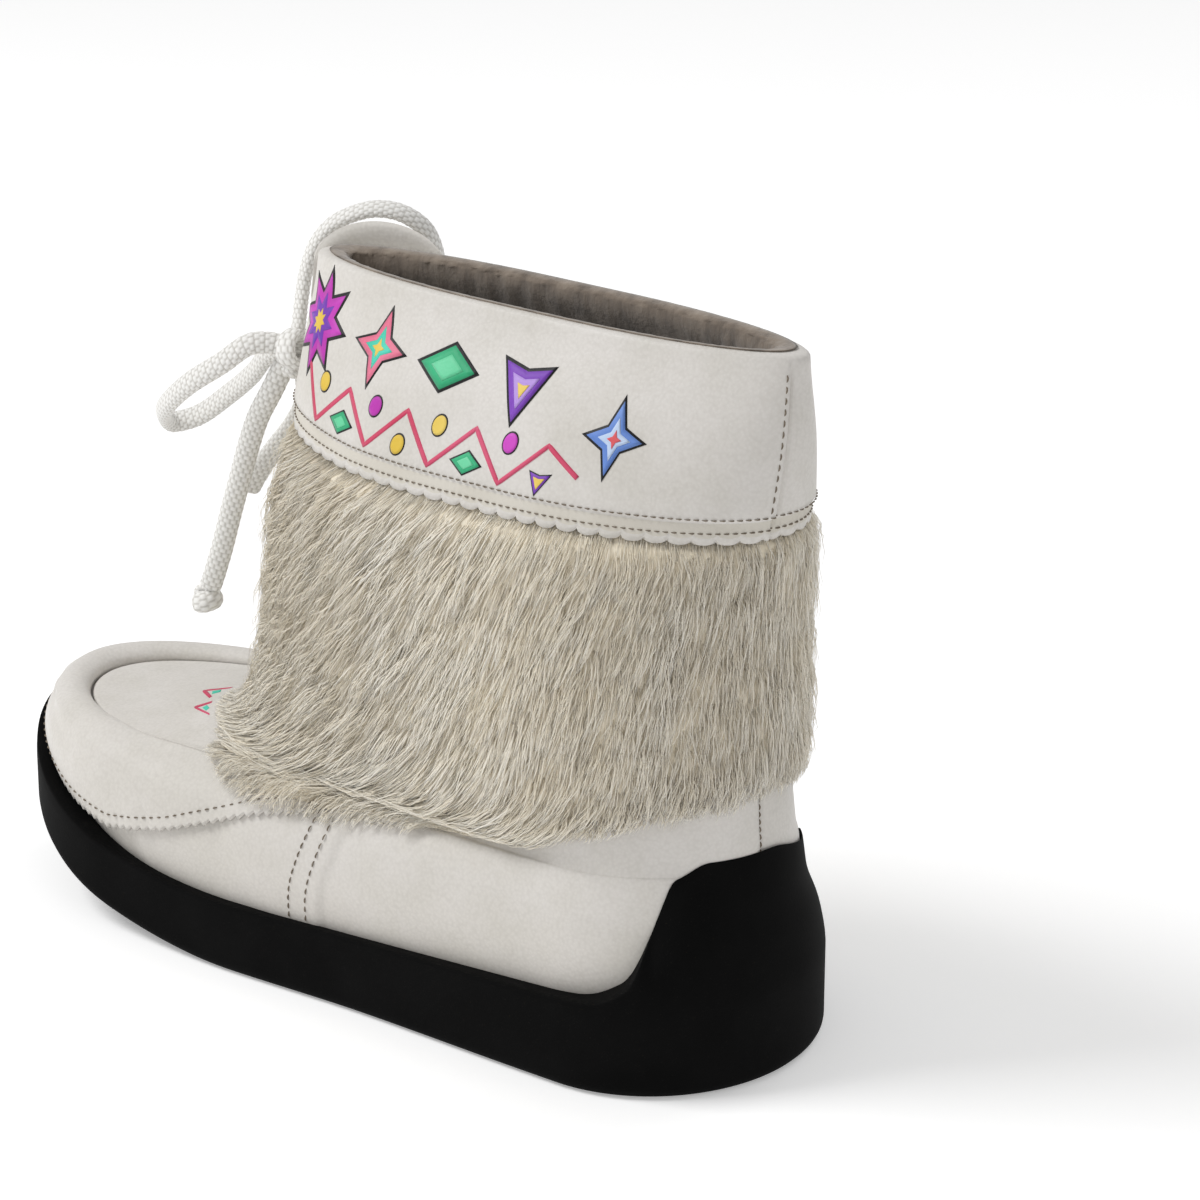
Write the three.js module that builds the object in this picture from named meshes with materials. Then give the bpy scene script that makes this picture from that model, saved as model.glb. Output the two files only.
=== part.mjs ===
import * as THREE from 'three';

// Left boot in millimetres. X runs to the toe, Y to the outer side, Z up, and the sole stands on Z = 0.

// Sole
const soleLength = 272;
const heelWidth = 98.4;
const waistWidth = 97;
const ballWidth = 101.8;
const waistHollow = 3;
const soleToeRoundOuter = 60;
const soleToeRoundInner = 76;
const soleHeelRound = 46;
const toeSwing = 5;
const toeSpring = 31;
const soleThicknessToe = 19.4;
const soleThicknessHeel = 29.2;
const soleEdgeRound = 3.5;
const archRise = 1.6;
const cupWall = 2.2;
const cupHeight = 66.2;
const cupFront = 105.4;
const cupSweep = 12;
const cupInnerFall = 9.5;
const cupGap = 0.9;
const insoleThickness = 4;

// Leather, fur and the clearance between neighbours
const bootHeight = 208;
const upperWall = 2;
const clearance = 0.3;
const hideGap = 0.9;
const apronLeather = 1.4;
const rimPuff = 4.2;
const plugLeather = 1.2;
const cuffLeather = 1.7;
const cuffDrop = 50;
const cuffLift = 3;
const scallopDepth = 2;
const furDepthSide = 6.5;
const furDepthBack = 6;
const furDepthFront = 5;
const lockDepth = 1;
const lockLength = 5;
const lockWidth = 16;
const tabWidth = 40;
const tabRise = 6.5;
const tabDrop = 30;
const tabLeather = 2;

// Shaft and collar, measured on the leather under the cuff
const ankleLength = 171;
const ankleWidth = 77;
const collarLength = 154;
const collarWidth = 28;
const collarMiddle = -53.5;

// Drawstring
const cordDiameter = 6.4;
const cordSides = 8;
const cordStep = 9;
const bowKnotRadius = 7;
const endKnotRadius = 4.4;

// Colours
const leatherColour = 0xe6e3dd;
const furColour = 0xd9d2c2;
const rubberColour = 0x17181a;
const cordColour = 0xebe9e6;
const feltColour = 0x8b8178;

const halfLength = soleLength / 2;
const collarHeight = bootHeight - cuffLeather - clearance;
// Share of the sole, from the heel, that lies flat
const flatShare = 0.6;
// How far the sections sink towards the toe, and where along half the sole they start to
const toeDrop = 0.58;
const toeDropFrom = 0.294;
const toeDropLength = 0.581;
// How much deeper a layer on the shaft is at the front and back than at the sides
const endReach = 2;
// Where the waist and the ball come in along the sole, as shares from the heel: start and length
const waistRun = [0.2, 0.22];
const ballRun = [0.42, 0.24];
const hollowRun = [0.22, 0.4];
const archMiddle = 0.38;
const archHalf = 0.16;
// Angles past the heel to the inner side over which the cup's edge falls: start and length
const cupFallRun = [-2, 18];
// Height over the sole's bed in which its side wall goes over into the heel cup
const wallDrop = 4;
const wallRise = 26;

// Sections of the foot. Level is a share of the height from the sole's edge to the collar, front and back
// and the rounds are shares of half the sole's length, and the widths are shares of half the ball's width.
const footSections = [
  // level, front, back, outer front, outer back, inner front, inner back, front round, back round
  [-0.030, 0.950, -0.935, 0.915, 0.840, 0.905, 0.820, 0.560, 0.320],
  [0.045, 0.970, -0.955, 0.960, 0.855, 0.945, 0.835, 0.560, 0.330],
  [0.100, 0.955, -0.957, 0.935, 0.830, 0.920, 0.810, 0.530, 0.335],
  [0.155, 0.920, -0.955, 0.840, 0.805, 0.810, 0.790, 0.460, 0.335],
  [0.187, 0.900, -0.952, 0.650, 0.785, 0.610, 0.765, 0.390, 0.335],
  [0.194, 0.760, -0.950, 0.580, 0.775, 0.530, 0.755, 0.340, 0.335],
  [0.204, 0.590, -0.948, 0.550, 0.770, 0.500, 0.750, 0.330, 0.335],
  [0.222, 0.470, -0.946, 0.560, 0.765, 0.530, 0.745, 0.330, 0.340],
];

// Sections of the shaft. The second column goes from the ankle's sizes at 0 to the collar's at 1. Front,
// back and the rounds are shares of half that length, and the widths are shares of half that width.
const shaftSections = [
  // level, to collar, front, back, outer front, outer back, inner front, inner back, front round, back round
  [0.270, 0, 1.205, -0.869, 0.820, 1.000, 0.795, 0.975, 0.57, 0.54],
  [0.350, 0, 1.120, -0.862, 0.900, 1.000, 0.888, 0.975, 0.64, 0.58],
  [0.460, 0, 1.080, -0.858, 0.954, 1.007, 0.947, 0.987, 0.71, 0.64],
  [0.600, 0, 1.050, -0.869, 0.985, 1.020, 0.985, 1.005, 0.79, 0.72],
  [0.730, 0, 0.985, -0.889, 0.958, 0.958, 0.958, 0.958, 0.84, 0.80],
  [0.870, 0.45, 0.982, -0.955, 1.000, 1.000, 0.900, 0.900, 0.84, 0.82],
  [1.000, 1, 1.000, -1.000, 1.060, 1.060, 0.940, 0.940, 0.84, 0.82],
  [1.120, 1, 1.000, -1.000, 0.900, 0.900, 0.780, 0.780, 0.84, 0.82],
];

// Angles of the columns from the heel over one side to the toe, closer where the heel cup sweeps up
const halfAngles = [
  0, 7, 13, 18.5, 23.5, 27, 30, 33, 36.5, 42, 50, 58, 67, 76, 85, 94, 103, 112, 121, 130, 139, 147, 154.5,
  161.5, 168, 174, 180,
];
const columnAngles = halfAngles.concat(halfAngles.slice(1, -1).reverse().map((angle) => 360 - angle));
const columns = columnAngles.length;
const toeColumn = halfAngles.length - 1;

// Places around the boot for the fur and the cuff: each column, and halfway where columns lie far apart
const widestGap = 5.5;
const fineColumns = columnAngles.flatMap((angle, column) => {
  const next = column + 1 < columns ? columnAngles[column + 1] : 360;
  return next - angle > widestGap ? [column, column + 0.5] : [column];
});

// Rows of the leather, as places in the list of sections
const skinRows = [0, 0.5, 1, 1.5, 2, 2.5, 3, 3.5, 4, 5, 6, 7, 8, 9, 10, 11, 12, 13, 14, 15];
const upperRows = skinRows.filter((row) => row <= 14);
const liningRows = [14, 12, 10, 8, 7, 6, 4, 3, 2, 1, 0];
const topRow = skinRows[skinRows.length - 1];

// Lower edge of the fur: angle from the toe and place in the list of sections
const furEdge = [[0, 6.85], [36, 6.35], [52, 5.1], [62, 4.1], [74, 3.4], [92, 3.2], [104, 4.0],
  [122, 7.5], [142, 8.3], [180, 8.6]];
// Lower edge of the apron, in the same way
const apronEdge = [[0, 1.0], [45, 0.9], [55, 1.05], [66, 1.8], [79, 2.95], [88, 3.5]];
const plugEdgeRow = 4.25;
const plugBackRow = 7.15;
const instepRow = 7;
const ankleRow = 10;
const sockRow = 13;
const collarRow = 14;
// Angles from the toe: how far round the apron and the plug go, and where the rolled rim fades
const apronReach = 87;
const plugReach = 67;
const rimFadeStart = 42;
const rimFadeLength = 18;
const cuffSlopeReach = 60;
const furFadeReach = 60;
// How far past the apron's and the plug's ends, and behind the plug, the fur still lies on them
const pastApron = 6;
const pastPlug = 8;
const behindPlug = 0.3;
const heelHideRow = 8.6;

const { lerp, clamp, degToRad } = THREE.MathUtils;
const smooth = (value) => THREE.MathUtils.smoothstep(value, 0, 1);

// Value at a place in a table of pairs
function fromTable(table, place) {
  const last = table.length - 1;
  if (place <= table[0][0]) return table[0][1];
  if (place >= table[last][0]) return table[last][1];
  const index = table.findIndex((row) => row[0] > place) - 1;
  const share = (place - table[index][0]) / (table[index + 1][0] - table[index][0]);
  return lerp(table[index][1], table[index + 1][1], share);
}

// Each section as lengths: level, front, back, four half widths, two rounds
const sections = footSections.map((row) => [
  row[0], row[1] * halfLength, row[2] * halfLength, ...row.slice(3, 7).map((share) => share * ballWidth / 2),
  row[7] * halfLength, row[8] * halfLength,
]).concat(shaftSections.map((row) => {
  const reach = lerp(ankleLength, collarLength, row[1]) / 2;
  const width = lerp(ankleWidth, collarWidth, row[1]) / 2;
  return [row[0], collarMiddle + row[2] * reach, collarMiddle + row[3] * reach,
    ...row.slice(4, 8).map((share) => share * width), row[8] * reach, row[9] * reach];
}));

// A smooth curve through the sections, between any two of them
function sectionAt(row) {
  const last = sections.length - 1;
  const index = Math.min(Math.floor(row), last - 1);
  const share = row - index;
  const before = sections[Math.max(index - 1, 0)];
  const after = sections[Math.min(index + 2, last)];
  return sections[index].map((start, item) => {
    const end = sections[index + 1][item];
    const slope = end - before[item];
    const bend = 2 * before[item] - 5 * start + 4 * end - after[item];
    const twist = 3 * start - before[item] - 3 * end + after[item];
    return start + 0.5 * share * (slope + share * (bend + share * twist));
  });
}

const toeLift = (x) => toeSpring * Math.max((x / soleLength + 0.5 - flatShare) / (1 - flatShare), 0) ** 2;
const middleLine = (x) => -toeSwing * clamp(x / halfLength, 0, 1) ** 2;

function soleTop(x) {
  const share = clamp(x / soleLength + 0.5, 0, 1);
  return toeLift(x) + lerp(soleThicknessToe, soleThicknessHeel, (1 - share) ** 1.6);
}

// Share of the full width at a distance from a rounded end
function endRound(distance, round) {
  const share = clamp(1 - distance / round, 0, 1);
  return Math.sqrt(1 - share * share);
}

// Point of the upper's outer face: angle from the heel in degrees, row in the list of sections
function leatherPoint(angle, row) {
  const [level, front, back, outerFront, outerBack, innerFront, innerBack, frontRound, backRound] = sectionAt(row);
  const turn = degToRad(angle);
  const outer = angle < 180;
  const along = (1 - Math.cos(turn)) / 2;
  const x = lerp(back, front, along);
  const width = outer ? lerp(outerBack, outerFront, smooth(along)) : lerp(innerBack, innerFront, smooth(along));
  const ends = endRound(front - x, frontRound) * endRound(x - back, backRound);
  const drop = toeDrop * Math.max((x / halfLength - toeDropFrom) / toeDropLength, 0) ** 1.7;
  const top = soleTop(x);
  return new THREE.Vector3(
    x,
    middleLine(x) * clamp(1 - row / instepRow, 0, 1) + (outer ? width : -width) * ends * (angle % 180 === 0 ? 0 : 1),
    top + level * (1 - drop) * (collarHeight - top),
  );
}

// Direction in which pieces lie over the leather: square to the foot, and level on the shaft
function layDirection(angle, row) {
  const turnStep = 0.5;
  const rowStep = 0.05;
  const around = leatherPoint(angle + turnStep, row).sub(leatherPoint((angle - turnStep + 360) % 360, row));
  const up = leatherPoint(angle, row + rowStep).sub(leatherPoint(angle, Math.max(row - rowStep, 0)));
  const square = new THREE.Vector3().crossVectors(up, around).normalize();
  const section = sectionAt(row);
  const turn = degToRad(angle);
  const along = (1 - Math.cos(turn)) / 2;
  const x = lerp(section[2], section[1], along);
  const ends = endRound(section[1] - x, section[7]) * endRound(x - section[2], section[8]);
  const level = new THREE.Vector3(-endReach * Math.cos(turn), angle < 180 ? ends : -ends, 0);
  return square.lerp(level, smooth((row - instepRow + 0.5) / 2));
}

const skin = columnAngles.map((angle) => skinRows.map((row) => ({
  point: leatherPoint(angle, row),
  lay: layDirection(angle, row),
})));

// Point at a distance over the leather: column and row may lie between the skin's own
function onSkin(column, row, over) {
  const left = Math.floor(column);
  const side = column - left;
  const next = skinRows.findIndex((value) => value > row);
  const high = next < 0 ? skinRows.length - 1 : Math.max(next, 1);
  const share = (row - skinRows[high - 1]) / (skinRows[high] - skinRows[high - 1]);
  const total = new THREE.Vector3();
  for (const [place, part] of [[left, 1 - side], [left + 1, side]]) {
    const strip = skin[(place + columns) % columns];
    for (const [index, weight] of [[high - 1, 1 - share], [high, share]]) {
      total.addScaledVector(strip[index].point, part * weight);
      total.addScaledVector(strip[index].lay, part * weight * over);
    }
  }
  return total;
}

// Row at which a column of the skin reaches a height
function rowAtHeight(column, height) {
  let low = 0;
  let high = topRow;
  for (let halving = 0; halving < 30; halving += 1) {
    const middle = (low + high) / 2;
    if (onSkin(column, middle, 0).z < height) low = middle;
    else high = middle;
  }
  return low;
}

const angleAt = (column) => {
  const left = Math.floor(column);
  const end = left + 1 === columns ? 360 : columnAngles[(left + 1) % columns];
  return lerp(columnAngles[left % columns], end, column - left);
};
const fromToe = (column) => Math.abs(180 - angleAt(column));

// Closed body from a list of faces given by three or four corner points
function bodyFrom(faces) {
  const corners = [];
  const push = (a, b, c) => {
    const area = new THREE.Vector3().crossVectors(b.clone().sub(a), c.clone().sub(a)).length();
    if (area > 1e-9) corners.push(a, b, c);
  };
  for (const [a, b, c, d] of faces) {
    push(a, b, c);
    if (d) push(a, c, d);
  }
  let volume = 0;
  for (let index = 0; index < corners.length; index += 3) {
    volume += corners[index].dot(new THREE.Vector3().crossVectors(corners[index + 1], corners[index + 2]));
  }
  if (volume < 0) corners.reverse();
  const geometry = new THREE.BufferGeometry().setFromPoints(corners);
  geometry.computeVertexNormals();
  return geometry;
}

// Faces between neighbouring sections, each a loop or a line of points
function facesBetween(loops, around, closedLoop) {
  const faces = [];
  const count = loops[0].length;
  for (let place = 0; place < loops.length - (around ? 0 : 1); place += 1) {
    const one = loops[place];
    const two = loops[(place + 1) % loops.length];
    for (let item = 0; item < count - (closedLoop ? 0 : 1); item += 1) {
      const next = (item + 1) % count;
      faces.push([one[item], two[item], two[next], one[next]]);
    }
  }
  return faces;
}

const ringBody = (loops) => bodyFrom(facesBetween(loops, true, true));

// Strip that ends on both sides: each section goes out over one face and back over the other
function stripBody(loops) {
  const faces = facesBetween(loops, false, true);
  const count = loops[0].length;
  for (const [loop, first] of [[loops[0], true], [loops[loops.length - 1], false]]) {
    for (let item = 0; item < count / 2 - 1; item += 1) {
      const quad = [loop[item], loop[item + 1], loop[count - 2 - item], loop[count - 1 - item]];
      faces.push(first ? quad : quad.reverse());
    }
  }
  return bodyFrom(faces);
}

// Disc with a shaped edge: each section is a line from the underside over the edge to the top
function discBody(lines) {
  const faces = facesBetween(lines, true, false);
  const last = lines[0].length - 1;
  for (let place = 0; place < columns / 2; place += 1) {
    const other = (columns - place) % columns;
    const across = (other - 1 + columns) % columns;
    faces.push([lines[place + 1][0], lines[place][0], lines[other][0], lines[across][0]]);
    faces.push([lines[place][last], lines[place + 1][last], lines[across][last], lines[other][last]]);
  }
  return bodyFrom(faces);
}

const boot = new THREE.Group();

function addPiece(name, geometry, color, roughness) {
  const mesh = new THREE.Mesh(geometry, new THREE.MeshStandardMaterial({ color, roughness, metalness: 0 }));
  mesh.name = name;
  boot.add(mesh);
}

// Outline of the sole, drawn in from its edge by a distance
function soleOutline(angle, inset) {
  const x = -(halfLength - inset) * Math.cos(degToRad(angle));
  const along = ([from, length]) => clamp((x / soleLength + 0.5 - from) / length, 0, 1);
  const rear = lerp(heelWidth, waistWidth, smooth(along(waistRun)));
  const width = lerp(rear, ballWidth, smooth(along(ballRun))) / 2 - inset;
  const hollow = angle > 180 ? waistHollow * Math.sin(Math.PI * along(hollowRun)) ** 2 : 0;
  const toeRound = (angle < 180 ? soleToeRoundOuter : soleToeRoundInner) - inset;
  const ends = endRound(halfLength - inset - x, toeRound) * endRound(x + halfLength - inset, soleHeelRound - inset);
  const side = angle % 180 === 0 ? 0 : Math.sign(180 - angle);
  return new THREE.Vector3(x, middleLine(x) + side * (width - hollow) * ends, 0);
}

function solePoint(angle, inset, height) {
  const point = soleOutline(angle, inset);
  return point.setZ(toeLift(point.x) + height);
}

// Height of the sole's upper edge at a column, with the sweep up to the heel cup
function soleEdge(column) {
  const angle = columnAngles[column];
  const outline = soleOutline(angle, 0);
  const leather = onSkin(column, 2, 0);
  const top = soleTop(outline.x);
  const pastHeel = angle > 180 ? 360 - angle : -angle;
  const cupTop = cupHeight - cupInnerFall * smooth((pastHeel - cupFallRun[0]) / cupFallRun[1]);
  return top + (cupTop - top) * smooth((-cupFront - leather.x) / cupSweep);
}

function addOutsole() {
  const lines = columnAngles.map((angle, column) => {
    const edge = soleEdge(column);
    const outline = solePoint(angle, 0, soleEdgeRound);
    const cupOver = cupGap + cupWall;
    const side = (share, inset) => {
      const height = lerp(outline.z, edge, share);
      const wall = soleOutline(angle, inset).setZ(height);
      const cup = onSkin(column, rowAtHeight(column, height), cupOver - inset).setZ(height);
      return wall.lerp(cup, smooth((height - soleTop(outline.x) + wallDrop) / wallRise));
    };
    const inner = (height) => onSkin(column, rowAtHeight(column, height), cupGap).setZ(height);
    const floor = onSkin(column, 0, cupGap);
    floor.z = onSkin(column, 0, 0).z - clearance;
    const brink = inner(edge);
    brink.z += soleTop(brink.x) - soleTop(outline.x);
    const arch = solePoint(angle, soleEdgeRound, 0);
    arch.x *= 0.9;
    arch.y = lerp(middleLine(arch.x), arch.y, 0.6);
    const fromArch = Math.abs(arch.x / soleLength + 0.5 - archMiddle);
    arch.z = toeLift(arch.x) + archRise * smooth(1 - fromArch / archHalf);
    return [
      arch,
      solePoint(angle, soleEdgeRound, 0),
      solePoint(angle, soleEdgeRound * 0.3, soleEdgeRound * 0.3),
      outline,
      side(0.36, 0),
      side(0.68, 0),
      side(0.96, 0),
      side(1, 0.8),
      brink,
      inner(lerp(brink.z, floor.z, 0.35)),
      inner(lerp(brink.z, floor.z, 0.7)),
      floor,
    ];
  });
  addPiece('outsole', discBody(lines), rubberColour, 0.7);
}

function addInsole() {
  const inset = -(upperWall + clearance);
  const lines = columnAngles.map((angle, column) => {
    const foot = onSkin(column, 0, inset);
    foot.z = onSkin(column, 0, 0).z;
    const top = foot.clone().setZ(foot.z + insoleThickness);
    return [foot, top];
  });
  addPiece('insole', discBody(lines), feltColour, 0.95);
}

function addUpper() {
  const loops = columnAngles.map((angle, column) => [
    ...upperRows.map((row) => onSkin(column, row, 0)),
    ...liningRows.map((row) => onSkin(column, row, -upperWall)),
  ]);
  addPiece('upper', ringBody(loops), leatherColour, 0.6);
}

// How far the apron stands over the leather between its lower edge at 0 and the plug at 1: thin, then the
// rolled rim, which goes flat where the fur covers it
function apronOver(column, share) {
  const shown = 1 - smooth((fromToe(column) - rimFadeStart) / rimFadeLength);
  const rise = 0.5 * smooth(share / 0.5) + 0.5 * smooth((share - 0.5) / 0.2);
  const fall = Math.sqrt(Math.max(1 - Math.max((share - 0.82) / 0.18, 0) ** 2, 0));
  return hideGap + apronLeather + rimPuff * shown * rise * fall;
}

const columnsWithin = (reach) => [...columnAngles.keys()].filter((column) => fromToe(column) <= reach);

function addApron() {
  const shares = [0, 0.02, 0.18, 0.36, 0.52, 0.64, 0.75, 0.85, 0.94, 1];
  const loops = columnsWithin(apronReach).map((column) => {
    const edge = fromTable(apronEdge, fromToe(column));
    const row = (share) => lerp(edge, plugEdgeRow, share);
    const outer = shares.map((share) => onSkin(column, row(share), apronOver(column, share)));
    outer[0] = onSkin(column, edge, hideGap + 0.5 * apronLeather);
    const inner = shares.map((share) => onSkin(column, row(share), hideGap));
    return [...outer, ...inner.reverse()];
  });
  addPiece('toe_apron', stripBody(loops), leatherColour, 0.6);
}

function addPlug() {
  const first = plugEdgeRow + 0.06;
  const rows = [first, first + 0.05, 4.7, 5, 5.5, 6, 6.5, 7, plugBackRow];
  const loops = columnsWithin(plugReach).map((column) => {
    const outer = rows.map((row, place) => onSkin(column, row, hideGap + plugLeather * (place ? 1 : 0.5)));
    const inner = rows.map((row) => onSkin(column, row, hideGap));
    return [...outer, ...inner.reverse()];
  });
  addPiece('toe_plug', stripBody(loops), leatherColour, 0.6);
}

// Height over the leather of what the fur's edge lies on at a column
function coverUnderFur(column, low) {
  if (fromToe(column) > apronReach + pastApron) return hideGap;
  const edge = fromTable(apronEdge, fromToe(column));
  const share = clamp((low - edge) / (plugEdgeRow - edge), 0, 1);
  const rim = [0, 0.25, 0.5, 0.75, 1].map((part) => apronOver(column, lerp(share, 1, part) * 0.999));
  return Math.max(low < plugEdgeRow ? Math.max(...rim) : 0, hideGap + plugLeather) + hideGap;
}

// Lower edge of the cuff
function cuffRow(column) {
  const height = bootHeight - cuffDrop + cuffLift * (1 - clamp(fromToe(column) / cuffSlopeReach, 0, 1));
  return rowAtHeight(column, height);
}

// Distance over the leather in which the row goes up by one, at a column's row
const rowPitch = (column, row) => onSkin(column, row, 0).distanceTo(onSkin(column, row + 0.3, 0)) / 0.3;

function addCuff() {
  const loops = fineColumns.map((column, place) => {
    const face = hideGap + cuffLeather;
    const edge = cuffRow(column);
    const low = edge + (place % 2 ? scallopDepth / rowPitch(column, edge) : 0);
    const rim = (over) => onSkin(column, collarRow, over);
    return [
      onSkin(column, low, face),
      onSkin(column, edge + 0.35, face),
      onSkin(column, sockRow, face),
      rim(face).setZ(bootHeight - 0.75 * cuffLeather),
      rim(face - 0.6 * cuffLeather).setZ(bootHeight),
      rim(0.5 * cuffLeather - upperWall).setZ(bootHeight),
      rim(-upperWall).setZ(collarHeight + clearance),
      rim(hideGap).setZ(collarHeight + clearance),
      onSkin(column, sockRow, hideGap),
      onSkin(column, low, hideGap),
    ];
  });
  addPiece('cuff', ringBody(loops), leatherColour, 0.6);
}

// Depth of the fur at a column, and the same measured along the lay direction
function furOver(column) {
  const front = smooth(1 - fromToe(column) / furFadeReach);
  const back = smooth(fromToe(column) / furFadeReach - 2);
  const depth = furDepthSide + (furDepthFront - furDepthSide) * front + (furDepthBack - furDepthSide) * back;
  return depth / lerp(1, endReach, Math.max(front, back));
}

// Tiers of locks from the cuff down to the hem, each ending in a step. Down is a share of the way to the
// hem, depth a share of the fur's depth, wave and swing move a lock out and down, and lies is 1 where the
// fur lies on the pieces below it
const furTiers = [
  // down, depth, wave, swing, lies
  [0, 0.25, 0, 0, 0],
  [0.1, 0.85, 1, 0, 0],
  [0.34, 1, -1, 0.03, 0],
  [0.37, 0.8, -1, 0.03, 0],
  [0.62, 1, 1, -0.03, 0],
  [0.65, 0.8, 1, -0.03, 0],
  [0.92, 0.95, -1, 0, 1],
  [1, 0.2, 0, 0, 1],
];

function addFur() {
  let walked = 0;
  let last = onSkin(0, ankleRow, 0);
  const loops = fineColumns.map((column) => {
    const here = onSkin(column, ankleRow, 0);
    walked += here.distanceTo(last);
    last = here;
    const lock = Math.cos(2 * Math.PI * walked / lockWidth);
    const edge = fromTable(furEdge, fromToe(column));
    const top = cuffRow(column) - 0.05;
    const low = edge - 0.5 * lock * Math.min(lockLength / rowPitch(column, edge), 0.5);
    const cover = coverUnderFur(column, low);
    const onPlug = fromToe(column) <= plugReach + pastPlug;
    const covered = onPlug ? Math.max(low + 1, plugBackRow + behindPlug) : low + 1;
    const outer = furTiers.map(([down, depth, wave, swing, lies]) => {
      const row = lerp(top, low, down + swing * lock);
      const over = Math.max(furOver(column) * depth + wave * lockDepth * lock, 0.8);
      return onSkin(column, row, lerp(hideGap, cover, lies) + over);
    });
    const rows = [low, covered, covered + 0.6, heelHideRow, ankleRow, ankleRow + 1, top];
    for (let place = 1; place < rows.length; place += 1) {
      rows[place] = Math.max(rows[place], rows[place - 1] + 0.03);
    }
    const inner = rows.map((row, place) => onSkin(column, Math.min(row, top), place < 2 ? cover : hideGap));
    return [...outer, ...inner];
  });
  addPiece('fur_band', ringBody(loops), furColour, 0.95);
}

function addTab() {
  const base = hideGap + cuffLeather + 2 * clearance;
  const loops = [];
  const steps = 12;
  let column = toeColumn;
  let walked = 0;
  let last = onSkin(column, collarRow, base);
  for (let step = 0; step <= steps; step += 1) {
    while (walked < tabWidth * step / steps) {
      column += 0.02;
      const here = onSkin(column, collarRow, base);
      walked += here.distanceTo(last);
      last = here;
    }
    const share = step / steps;
    const round = Math.sqrt(Math.max(1 - (2 * share - 1) ** 2, 0.02));
    const top = bootHeight + lerp(-tabRise, tabRise, round);
    const low = bootHeight - lerp(0.5, 1, round) * tabDrop;
    const at = (height, over) => {
      const row = rowAtHeight(column, Math.min(height, collarHeight));
      return onSkin(column, row, over).setZ(height);
    };
    const levels = [low, lerp(low, top, 0.65), top];
    const outer = levels.map((height) => at(height, base + tabLeather));
    const inner = levels.map((height) => at(height, base));
    loops.push([...outer, ...inner.reverse()]);
  }
  addPiece('front_tab', stripBody(loops), leatherColour, 0.6);
}

const cordRadius = cordDiameter / 2;

// Routes of the drawstring, chosen by hand: out of the bow's knot, and back into it or to a free end
const bowKnot = new THREE.Vector3(40.3, -0.5, 174.7);
const cordRoutes = {
  tie_side_loop: [[46.1, 4.5, 177.1], [50.3, 8, 177], [57.5, 11.5, 170.5], [69, 12.7, 162.5],
    [81.5, 8.5, 153], [91.3, 0.5, 145], [95.5, -8, 139.5], [90.5, -13, 141], [77, -13, 150.8],
    [64.5, -9.5, 160.5], [54, -4.8, 170], [48, -2.8, 172.9]],
  tie_back_loop: [[41.1, -3.3, 182.2], [41.9, -5.6, 188.5], [42.2, -8, 195.5], [40.2, -10, 203.5],
    [36, -12, 209.5], [29.7, -14, 213.5], [23, -17, 215.6], [16.3, -20.5, 214.6], [11.5, -24.5, 210],
    [10.5, -28, 203], [12.5, -31, 195.5], [18, -32, 188.5], [27, -29, 182], [36, -22, 177.5],
    [41.3, -14.5, 175.3], [42.3, -8.5, 174.8]],
  tie_long_end: [[42.9, 2.8, 168.6], [45.3, 4.6, 162.5], [49.7, 5.5, 154.2], [53.4, 6, 144.5],
    [55.9, 7, 135], [58.8, 8, 124.5], [61.9, 9, 112.6], [64.4, 10, 103.9], [66.6, 10, 98.5]],
  tie_short_end: [[40.7, -4.2, 168.3], [41.2, -6.2, 162.5], [42.8, -7, 156], [47.6, -7.5, 148.5],
    [54.5, -8, 140.5], [61.5, -8, 132], [66.5, -8, 124]],
};

function cordBody(points) {
  const route = new THREE.CatmullRomCurve3(points.map((point) => new THREE.Vector3(...point)));
  const ring = new THREE.Shape();
  for (let side = 0; side < cordSides; side += 1) {
    const turn = 2 * Math.PI * side / cordSides;
    if (side) ring.lineTo(cordRadius * Math.cos(turn), cordRadius * Math.sin(turn));
    else ring.moveTo(cordRadius, 0);
  }
  const steps = Math.round(route.getLength() / cordStep);
  return new THREE.ExtrudeGeometry(ring, { steps, extrudePath: route, bevelEnabled: false });
}

function addTie() {
  const knot = new THREE.SphereGeometry(bowKnotRadius, 12, 8).translate(...bowKnot.toArray());
  addPiece('tie_knot', knot, cordColour, 0.9);
  for (const [name, points] of Object.entries(cordRoutes)) addPiece(name, cordBody(points), cordColour, 0.9);
  const [before, tip] = cordRoutes.tie_long_end.slice(-2).map((point) => new THREE.Vector3(...point));
  const centre = tip.clone().addScaledVector(tip.clone().sub(before).normalize(), endKnotRadius + clearance);
  const endKnot = new THREE.SphereGeometry(endKnotRadius, 10, 7).translate(...centre.toArray());
  addPiece('tie_long_end_knot', endKnot, cordColour, 0.9);
}

addOutsole();
addInsole();
addUpper();
addApron();
addPlug();
addFur();
addCuff();
addTab();

// The origin lies under the middle of the boot's box, without the drawstring
const middle = new THREE.Box3().setFromObject(boot).getCenter(new THREE.Vector3());
boot.position.set(-middle.x, -middle.y, 0);
addTie();

export default boot;
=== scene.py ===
import bmesh
import bpy
import numpy as np
from mathutils import Matrix, Vector


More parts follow.
